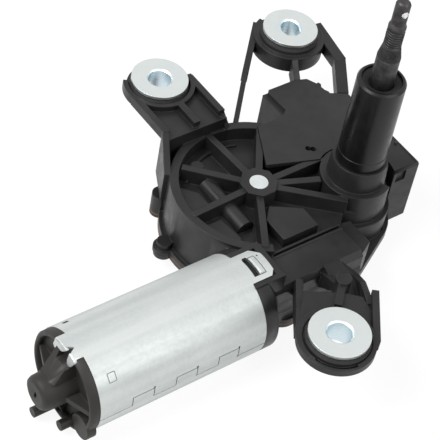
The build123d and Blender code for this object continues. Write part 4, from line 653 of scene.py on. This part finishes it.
def thread_tree():
    """A ridge with a square section, swept along a helix from the thread's foot."""
    tree = Grower("rolled_thread", Turns=7.0, Radius=3.6 * MM, Height=8.6 * MM, Ridge=0.34 * MM)
    helix = tree.node("GeometryNodeCurveSpiral", {}, {
        "Resolution": 64,
        "Rotations": tree.size("Turns"),
        "Start Radius": tree.size("Radius"),
        "End Radius": tree.size("Radius"),
        "Height": tree.size("Height"),
    })
    values = {"Resolution": 4, "Radius": tree.size("Ridge")}
    ridge = tree.node("GeometryNodeCurvePrimitiveCircle", {"mode": "RADIUS"}, values)
    values = {"Curve": helix, "Profile Curve": ridge, "Fill Caps": True}
    swept = tree.node("GeometryNodeCurveToMesh", {}, values)
    values = {"Geometry": swept, "Translation": (0, 0, THREAD_FOOT)}
    return tree, tree.node("GeometryNodeTransform", {}, values)


tree, shape = thread_tree()
tree.grow("spindle_thread", shape, dark_steel, "spindle", "spindle_steel")


def serration_tree():
    """One thin wedge that leans with the cone, set round the axis."""
    tree = Grower("serrations", Count=54, Length=6.0 * MM, Width=0.24 * MM)
    wedge = tree.node("GeometryNodeMeshCone", {"fill_type": "TRIANGLE_FAN"}, {
        "Vertices": 4,
        "Side Segments": 1,
        "Radius Top": tree.size("Width"),
        "Radius Bottom": tree.size("Width"),
        "Depth": tree.size("Length"),
    })
    leaned = tree.node("GeometryNodeTransform", {}, {
        "Geometry": wedge,
        "Rotation": (0, math.atan2(CONE_FALL, CONE_LENGTH), 0),
        "Translation": WEDGE_MIDDLE,
    })
    values = {"Count": tree.size("Count"), "Offset": (0, 0, 0)}
    ring = tree.node("GeometryNodeMeshLine", {"mode": "OFFSET"}, values)
    index = tree.node("GeometryNodeInputIndex")
    turn = index * (2 * math.pi) / tree.size("Count")
    angle = tree.node("ShaderNodeCombineXYZ", {}, {2: turn})
    values = {"Points": ring, "Instance": leaned, "Rotation": angle}
    return tree, tree.node("GeometryNodeInstanceOnPoints", {}, values)


tree, shape = serration_tree()
tree.grow("spindle_serrations", shape, dark_steel, "spindle", "spindle_steel")

# %% [markdown]
# The can's seam, slot and stamp are cuts, most of them a fraction of a millimetre deep. A bump
# could fake them, but the exported mesh and a grazing view would not have it. So a copy of the
# solid is merged, closed blocks are bent round the can's axis or stood upright, and one
# boolean cuts them all.


# %% Carving helpers
SHAFT_Y, SHAFT_Z, CAN_R = -25.0, -28.0, 22.4
BEND_STEP = 3


def merged_copy(name, source, material):
    """A copy of a CAD solid with its loose triangles joined at their corners."""
    work = bmesh.new()
    work.from_mesh(node[source].data)
    bmesh.ops.remove_doubles(work, verts=work.verts, dist=0.001 * MM)
    mesh = bpy.data.meshes.new(name)
    work.to_mesh(mesh)
    work.free()
    return new_object(name, mesh, material)


def on_can(x, angle, radius):
    """A point round the can's axis, from an angle in degrees and a radius."""
    turn = math.radians(angle)
    y, z = SHAFT_Y + radius * math.cos(turn), SHAFT_Z + radius * math.sin(turn)
    return Vector((x, y, z)) * MM


def sides(work, first, second):
    """Joins two rings of corners with faces."""
    for n in range(len(first)):
        m = (n + 1) % len(first)
        work.faces.new((first[n], first[m], second[m], second[n]))


def bent_block(work, x_span, angles, radii):
    """A closed block bent round the shaft's axis."""
    steps = max(1, math.ceil(abs(angles[1] - angles[0]) / BEND_STEP))
    (start, end), (inner, outer) = x_span, radii
    corners = [(start, inner), (end, inner), (end, outer), (start, outer)]
    rings = []
    for n in range(steps + 1):
        angle = angles[0] + (angles[1] - angles[0]) * n / steps
        rings.append([work.verts.new(on_can(x, angle, radius)) for x, radius in corners])
    for first, second in zip(rings, rings[1:]):
        sides(work, first, second)
    work.faces.new(rings[0])
    work.faces.new(rings[-1])


def prism(work, corners, place, low, high):
    """A closed block with flat ends: place turns a corner and a height into a point."""
    rows = [[work.verts.new(place(*xy, height)) for xy in corners] for height in (low, high)]
    sides(work, *rows)
    work.faces.new(rows[0])
    work.faces.new(rows[1])


def closed_mesh(name, work, material):
    """An object from a bmesh whose blocks are closed, with its faces pointing outwards."""
    bmesh.ops.recalc_face_normals(work, faces=work.faces)
    mesh = bpy.data.meshes.new(name)
    work.to_mesh(mesh)
    work.free()
    return new_object(name, mesh, material)


def cut_away(made, work):
    """Takes the blocks in work out of an object."""
    cutter = closed_mesh("cutter", work, made.data.materials[0])
    cut = made.modifiers.new("cut", "BOOLEAN")
    cut.object, cut.operation, cut.solver, cut.use_self = cutter, "DIFFERENCE", "EXACT", True
    evaluated(made)
    bpy.data.objects.remove(cutter)
    print(made.name, len(made.data.polygons), "faces after the cuts")


print("can: radius", CAN_R, "mm round y", SHAFT_Y, "z", SHAFT_Z)

# %% [markdown]
# The can is rolled from sheet and closed by a jigsaw seam, whose joint line steps between two
# levels, with stake marks beside some of the steps. It locks on the housing with a slotted
# tongue, and at its other end a tab is cut away to be made again as two bent prongs. A block
# for each mark is simpler than one outline of the whole seam, and the boolean joins them.


# %% Jigsaw seam, tongue and marks of the can
# x and depths are in millimetres, turns in degrees round the shaft
SEAM_LOW, SEAM_HIGH, SEAM_HALF = 185.5, 172.6, 0.17
SEAM_X = [-163.6, -148.2, -137.9, -127.1, -116.8, -106.0, -95.9, -81.8]
STAKE_HALF, STAKE_FAR, STAKE_NEAR = 0.42, 2.4, 0.2
LAST_STAKE = (-96.3, -95.5), (SEAM_LOW - 0.4, SEAM_LOW + 1.6)
STAMP_X, STAMP_TURNS, STAMP_ENDS = (-157.7, -154.3), (132.8, 142.8), (132.6, 143.0)
LINE_HALF, LINE_TURN = 0.12, 0.3
VENT = (-159.8, -157.2), (47.5, 53.0)
SLOT = (-79.5, -76.6), (79.5, 105.0)
LATCH_END = (-73.7, -73.4), (79.5, 105.0)
LATCH_SIDE_X, LATCH_SIDE_TURNS, LATCH_SIDE_HALF = (-76.8, -73.5), (79.9, 104.6), 0.4
DIMPLE = (-72.5, -71.8), (80.6, 82.6)
STAMP_DEPTH, SEAM_DEPTH, STAKE_DEPTH = 0.2, 0.4, 0.8
LATCH_DEPTH, VENT_DEPTH, CORNER_DEPTH, SLOT_DEPTH = 0.9, 1.2, 3, 4
OVER = CAN_R + 1
TAB_X, TAB_TURNS, TAB_RADII = (-169, -166.2), (76, 111), (12, CAN_R - 1.3)
MARKED_X = (-163.3, -71.6)
SUNK = 0.06
work = bmesh.new()


def groove(x_span, angles, depth):
    """Cuts the can's wall to a depth, from clear above it."""
    bent_block(work, x_span, angles, (CAN_R - depth, OVER))


def around(middle, half):
    """A span about a middle."""
    return (middle - half, middle + half)


seam_turn = math.degrees(SEAM_HALF / CAN_R)
for n, (start, end) in enumerate(zip(SEAM_X, SEAM_X[1:])):
    level = SEAM_HIGH if n % 2 else SEAM_LOW
    groove((start - SEAM_HALF, end + SEAM_HALF), around(level, seam_turn), SEAM_DEPTH)
for x in SEAM_X[1:-1]:
    groove(around(x, SEAM_HALF), (SEAM_HIGH - seam_turn, SEAM_LOW + seam_turn), SEAM_DEPTH)
for x in SEAM_X[2:-1:2]:
    groove(around(x, STAKE_HALF), (SEAM_HIGH - STAKE_FAR, SEAM_HIGH - STAKE_NEAR), STAKE_DEPTH)
groove(*LAST_STAKE, STAKE_DEPTH)
for x in STAMP_X:
    groove(around(x, LINE_HALF), STAMP_ENDS, STAMP_DEPTH)
for angle in STAMP_TURNS:
    groove(STAMP_X, around(angle, LINE_TURN), STAMP_DEPTH)
groove(*VENT, VENT_DEPTH)
groove(*SLOT, SLOT_DEPTH)
groove(*LATCH_END, LATCH_DEPTH)
for angle in LATCH_SIDE_TURNS:
    groove(LATCH_SIDE_X, around(angle, LATCH_SIDE_HALF), LATCH_DEPTH)
groove(*DIMPLE, STAKE_DEPTH)
near_corner = [(-74.6, 64), (-67, 64), (-67, 82.5), (-69.5, 82.5)]
far_corner = [(-69.8, 104.5), (-67, 104.5), (-67, 116), (-73.6, 116)]
for corner in (near_corner, far_corner):
    prism(work, corner, on_can, CAN_R - CORNER_DEPTH, OVER)
bent_block(work, TAB_X, TAB_TURNS, TAB_RADII)
can = merged_copy("drawn_can", "motor_can", can_sheet)
cut_away(can, work)
# Faces below the can's outer skin between the marked ends take the painted shade of the cuts.
can.data.materials.append(groove_shade)
for face in can.data.polygons:
    x, y, z = face.center / MM
    sunk = math.hypot(y - SHAFT_Y, z - SHAFT_Z) < CAN_R - SUNK
    face.material_index = int(sunk and MARKED_X[0] < x < MARKED_X[1])
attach(can, "housing")
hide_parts("motor_can")

# %% [markdown]
# A forked tab is bent over the end cap, and a blade stands up in the tongue's slot. Both are
# sheet too. They are drawn as outlines and given a thickness, and the Bevel modifier rounds
# the edges that a press leaves, which a plain block would keep sharp.


# %% Bent prongs and the latch blade
PRONG_X = (-167.9, -166.6)
PRONG_ROOT = (-167.9, -163.3), (71.5, 80.2), (CAN_R - 1.2, CAN_R)
BLADE = (-76.3, -73.9), (81.2, 103.6), (CAN_R - 0.9, CAN_R + 0.35)
PRESSED_EDGE, MOULDED_EDGE = 0.3 * MM, 0.35 * MM
near_prong = [
    (7.2, 20.9), (8.3, 16.2), (7.3, 14.9), (5.6, 15.4), (1.7, 18.0), (0.2, 19.6), (-1.4, 22.0),
    (3.0, 22.0),
]
far_prong = [
    (-2.8, 21.9), (-1.9, 17.0), (-2.0, 14.6), (-3.2, 14.1), (-4.6, 15.1), (-7.4, 20.3),
    (-7.0, 21.2),
]


def at_cap(y, z, x):
    """A point of the end cap's face, from the shaft's axis."""
    return Vector((x, SHAFT_Y + y, SHAFT_Z + z)) * MM


def soft_piece(name, work, material, radius):
    """A closed piece on the housing, with bevelled edges."""
    made = closed_mesh(name, work, material)
    soft = made.modifiers.new("rounded", "BEVEL")
    soft.width, soft.segments = radius, 2
    evaluated(made)
    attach(made, "housing")
    print(name, len(made.data.polygons), "faces")


work = bmesh.new()
for outline in (near_prong, far_prong):
    prism(work, outline, at_cap, *PRONG_X)
bent_block(work, *PRONG_ROOT)
soft_piece("crimp_prongs", work, can_sheet, PRESSED_EDGE)
work = bmesh.new()
bent_block(work, *BLADE)
soft_piece("latch_blade", work, can_sheet, PRESSED_EDGE)

# %% [markdown]
# The mouldings carry small marks: a hollow screw boss on the housing, a rim line on the
# connector, a lowered step on the box cover and the scar of the mould's gate on the cap. Each
# is an outline cut to a depth, so one function serves them all: it cuts a merged copy of the
# solid, which then replaces the solid itself.


# %% Marks of the mouldings
def upright(x, y, z):
    """A point in the frame, from millimetres."""
    return Vector((x, y, z)) * MM


def round_corners(middle, radius, count=20):
    """The corners of a round hole's outline."""
    turns = [2 * math.pi * n / count for n in range(count)]
    return [(middle[0] + radius * math.cos(a), middle[1] + radius * math.sin(a)) for a in turns]


def carved(name, source, material, place, span, outlines):
    """Cuts outlines into a copy of a solid, between two heights."""
    work = bmesh.new()
    for outline in outlines:
        prism(work, outline, place, *span)
    made = merged_copy(name, source, material)
    cut_away(made, work)
    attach(made, "housing")
    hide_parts(source)


boss_hole = round_corners((-71.2, 45.4), 1.25)
rim_side = [(29.9, -6.9), (30.2, -6.9), (30.2, 12.2), (29.9, 12.2)]
rim_end = [(24.0, 11.9), (29.9, 11.9), (29.9, 12.2), (24.0, 12.2)]
step = [
    (-3.0, 66), (-4.2, 61.2), (-3.7, 47.8), (-6.2, 45.6), (-18.6, 46.0), (-24, 46.4), (-24, 66),
]
gate_scar = [(-1.3, 0.2), (-0.4, -1.9), (0.7, -1.7), (0.1, 1.9), (-0.8, 1.7)]
carved(
    "housing_shell", "gear_housing", black_nylon,
    upright, (-36, -30), [boss_hole],
)
carved(
    "connector_shell", "connector_housing", box_nylon,
    upright, (-12.1, -11), [rim_side, rim_end],
)
carved(
    "box_cover_shell", "electronics_cover", box_nylon,
    upright, (-12.9, -9), [step],
)
carved("cap_shell", "end_cap", cap_nylon, at_cap, (-181, -178.8), [gate_scar])

# %% [markdown]
# Two small hooks hold the box cover, and a nub stands on the connector. They are so small that
# an outline with a height and a rounded edge is all that is seen of them.

# %% Snap hooks
HOOK_FOOT, BOX_FACE, NUB_TOP = -15, -11.9, -10.6
hook_outlines = [
    [(19.4, 55.6), (22.4, 56.6), (22.9, 54.9), (21.9, 53.3), (19.9, 53.2)],
    [(20.4, 51.3), (22.3, 50.7), (23.2, 48.8), (22.3, 47.2), (20.4, 47.4)],
]
nub_outline = [(28.4, 6.0), (29.6, 6.0), (29.6, 7.4), (28.4, 7.4)]
work = bmesh.new()
for outline in hook_outlines:
    prism(work, outline, upright, HOOK_FOOT, BOX_FACE)
prism(work, nub_outline, upright, BOX_FACE, NUB_TOP)
soft_piece("snap_hooks", work, box_nylon, MOULDED_EDGE)

# %% [markdown]
# Self-tapping screws hold the rear cover. They are all alike, so Geometry Nodes set one screw
# on a point for each: a domed head on a shank, with a six-lobed recess that a Mesh Boolean
# node cuts out of the head. The points are the middles of the solids in the frame, so the
# screws stay where the frame has them.


# %% Places of the screws
def solid_middles(name):
    """The middle, in x and y, of each separate solid of a CAD node, in a fixed order."""
    work = bmesh.new()
    work.from_mesh(node[name].data)
    bmesh.ops.remove_doubles(work, verts=work.verts, dist=0.001 * MM)
    left, middles = set(work.verts), []
    while left:
        group, edge = set(), [left.pop()]
        while edge:
            vert = edge.pop()
            group.add(vert)
            for link in vert.link_edges:
                other = link.other_vert(vert)
                if other in left:
                    left.discard(other)
                    edge.append(other)
        xs, ys = [v.co.x for v in group], [v.co.y for v in group]
        middles.append(((min(xs) + max(xs)) / 2, (min(ys) + max(ys)) / 2, 0))
    work.free()
    return sorted(middles)


screw_foot, screw_top = (corner.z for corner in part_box("cover_screws"))
screw_places = solid_middles("cover_screws")
print("screws:", len(screw_places))

# %% Star screws
DOME_SHARE, DOME_TOP, LOBE_SHARE = 0.4, 0.78, 0.72
FLANGE_Z, BIT_Z, BIT_REACH, LOBE_R = 1.4 * MM, -1.0 * MM, 2.4 * MM, 0.35 * MM
SHANK_Z, HEAD_SPAN = 1.9 * MM, 2.2 * MM


def screw_head(tree):
    """A domed head with a six-lobed recess."""
    radius, tall, star = tree.size("Head"), tree.size("Tall"), tree.size("Star")
    dome = tree.node("GeometryNodeMeshCone", {}, {
        "Vertices": 40,
        "Radius Bottom": radius * DOME_TOP,
        "Radius Top": radius,
        "Depth": tall * DOME_SHARE,
    })
    values = {"Vertices": 40, "Radius": radius, "Depth": tall * (1 - DOME_SHARE)}
    flange = tree.node("GeometryNodeMeshCylinder", {}, values)
    values = {"Geometry": flange, "Translation": (0, 0, FLANGE_Z)}
    raised = tree.node("GeometryNodeTransform", {}, values)
    values = {"Mesh 2": [dome, raised]}
    head = tree.node("GeometryNodeMeshBoolean", {"operation": "UNION"}, values)
    values = {"Points": 6, "Inner Radius": star * LOBE_SHARE, "Outer Radius": star}
    lobes = tree.node("GeometryNodeCurveStar", {}, values)
    rounded = tree.node("GeometryNodeFilletCurve", {}, {"Curve": lobes, "Radius": LOBE_R})
    filled = tree.node("GeometryNodeFillCurve", {}, {"Curve": rounded})
    values = {"Mesh": filled, "Offset Scale": BIT_REACH}
    bit = tree.node("GeometryNodeExtrudeMesh", {}, values)
    flipped = tree.node("GeometryNodeFlipFaces", {}, {"Mesh": filled})
    closed = tree.node("GeometryNodeJoinGeometry", {}, {0: [bit, flipped]})
    values = {"Geometry": closed, "Translation": (0, 0, BIT_Z)}
    sunk = tree.node("GeometryNodeTransform", {}, values)
    values = {"Mesh 1": head, "Mesh 2": sunk}
    return tree.node("GeometryNodeMeshBoolean", {"operation": "DIFFERENCE"}, values)


def screw_tree(low, high):
    """One screw between two heights, set on every point of the object's own mesh."""
    tree = Grower("star_screws", Head=3.05 * MM, Tall=2.0 * MM, Shank=1.1 * MM, Star=1.7 * MM)
    head = screw_head(tree)
    reach = high - low - HEAD_SPAN
    values = {"Vertices": 24, "Radius": tree.size("Shank"), "Depth": reach}
    shank = tree.node("GeometryNodeMeshCylinder", {}, values)
    values = {"Geometry": shank, "Translation": (0, 0, SHANK_Z + reach / 2)}
    hung = tree.node("GeometryNodeTransform", {}, values)
    screw = tree.node("GeometryNodeJoinGeometry", {}, {0: [head, hung]})
    values = {"Geometry": screw, "Translation": (0, 0, low)}
    stood = tree.node("GeometryNodeTransform", {}, values)
    values = {"Points": tree.size("Places"), "Instance": stood}
    return tree, tree.node("GeometryNodeInstanceOnPoints", {}, values)


tree, shape = screw_tree(screw_foot, screw_top)
points = bpy.data.meshes.new("screw_places")
points.from_pydata(screw_places, [], [])
screws = tree.grow("star_screws", shape, zinc, "housing", "zinc_steel", points)
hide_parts("cover_screws")

# %% [markdown]
# The world and two large lamps together light a surface about as its colour is written. The
# backdrop must be white without pouring that much light on the part, so the Light Path node
# tells rays apart: those from the camera, and those that glance off metal or pass through
# glass, see a white room, and the rest see a dim one.


# %% World and lamps
WHITE = colour(1.0, 1.0, 1.0)
WHITE_ROOM_RAYS = ("Is Camera Ray", "Is Transmission Ray", "Is Glossy Ray")


def studio_world(strength):
    """A dim white world that camera, transmission and glossy rays see at full white."""
    world = bpy.data.worlds.new("studio")
    bpy.context.scene.world = world
    world.use_nodes = True
    world.node_tree.nodes.clear()
    room = Nodes(world.node_tree)
    camera_ray, glass_ray, glossy_ray = (
        room.node("ShaderNodeLightPath", output=kind) for kind in WHITE_ROOM_RAYS
    )
    seen = camera_ray.maths("MAXIMUM", camera_ray, glass_ray)
    bright = seen.maths("MAXIMUM", seen, glossy_ray)
    soft, full = (
        room.node("ShaderNodeBackground", {}, {"Color": WHITE, "Strength": power})
        for power in (strength, 1.0)
    )
    both = room.node("ShaderNodeMixShader", {}, {0: bright, 1: soft, 2: full})
    out = world.node_tree.nodes.new("ShaderNodeOutputWorld")
    room.link(both, out.inputs["Surface"])


def lamp(name, place, aim, size, power):
    """A square soft lamp that faces a point."""
    light = bpy.data.lights.new(name, "AREA")
    light.shape, light.size, light.energy = "SQUARE", size, power
    made = bpy.data.objects.new(name, light)
    bpy.context.scene.collection.objects.link(made)
    facing = (Vector(aim) - Vector(place)).to_track_quat("-Z", "Y").to_matrix().to_4x4()
    made.matrix_world = Matrix.Translation(place) @ facing


MOTOR_MIDDLE = (-0.05, 0, -0.02)
studio_world(0.45)
lamp("key", (-0.75, 0.15, 0.85), MOTOR_MIDDLE, 0.6, 11.5)
lamp("fill", (0.25, -0.95, 0.75), MOTOR_MIDDLE, 0.9, 5.0)
print("lamps:", [light.name for light in bpy.data.lights])

# %% [markdown]
# The floor catches the part's soft shadow. A white floor alone would come out grey away from
# the lamps, so for the same rays it is mixed with a white glow, and what is left of its own
# shading keeps the shadow.


# %% Floor
FLOOR_REACH, FLOOR_DROP = 3.0, 0.0004
GLOW_SHARE, GLOW = 0.84, 1.06


def pale_floor(z):
    """A wide floor that the camera sees as white, with the shadows kept."""
    mesh = bpy.data.meshes.new("floor")
    corners = [(-1, -1), (1, -1), (1, 1), (-1, 1)]
    corners = [(x * FLOOR_REACH, y * FLOOR_REACH, z) for x, y in corners]
    mesh.from_pydata(corners, [], [(0, 1, 2, 3)])
    finish = Finish("pale_floor", Base_Color=colour(0.85, 0.85, 0.85), Roughness=0.9)
    camera_ray, glass_ray, glossy_ray = (
        finish.node("ShaderNodeLightPath", output=kind) for kind in WHITE_ROOM_RAYS
    )
    share = (camera_ray + glass_ray + glossy_ray) * GLOW_SHARE
    glow = finish.node("ShaderNodeEmission", {}, {"Strength": GLOW})
    own = Wire(finish, finish.shader.outputs[0])
    mixed = finish.node("ShaderNodeMixShader", {}, {0: share, 1: own, 2: glow})
    finish.link(mixed, finish.tree.nodes["Material Output"].inputs["Surface"])
    floor = new_object("floor", mesh, finish.material)


floor_z = cad_box[0][2] - FLOOR_DROP
pale_floor(floor_z)
bpy.context.scene.view_settings.view_transform = "Standard"
print("studio: floor at", round(floor_z, 4))
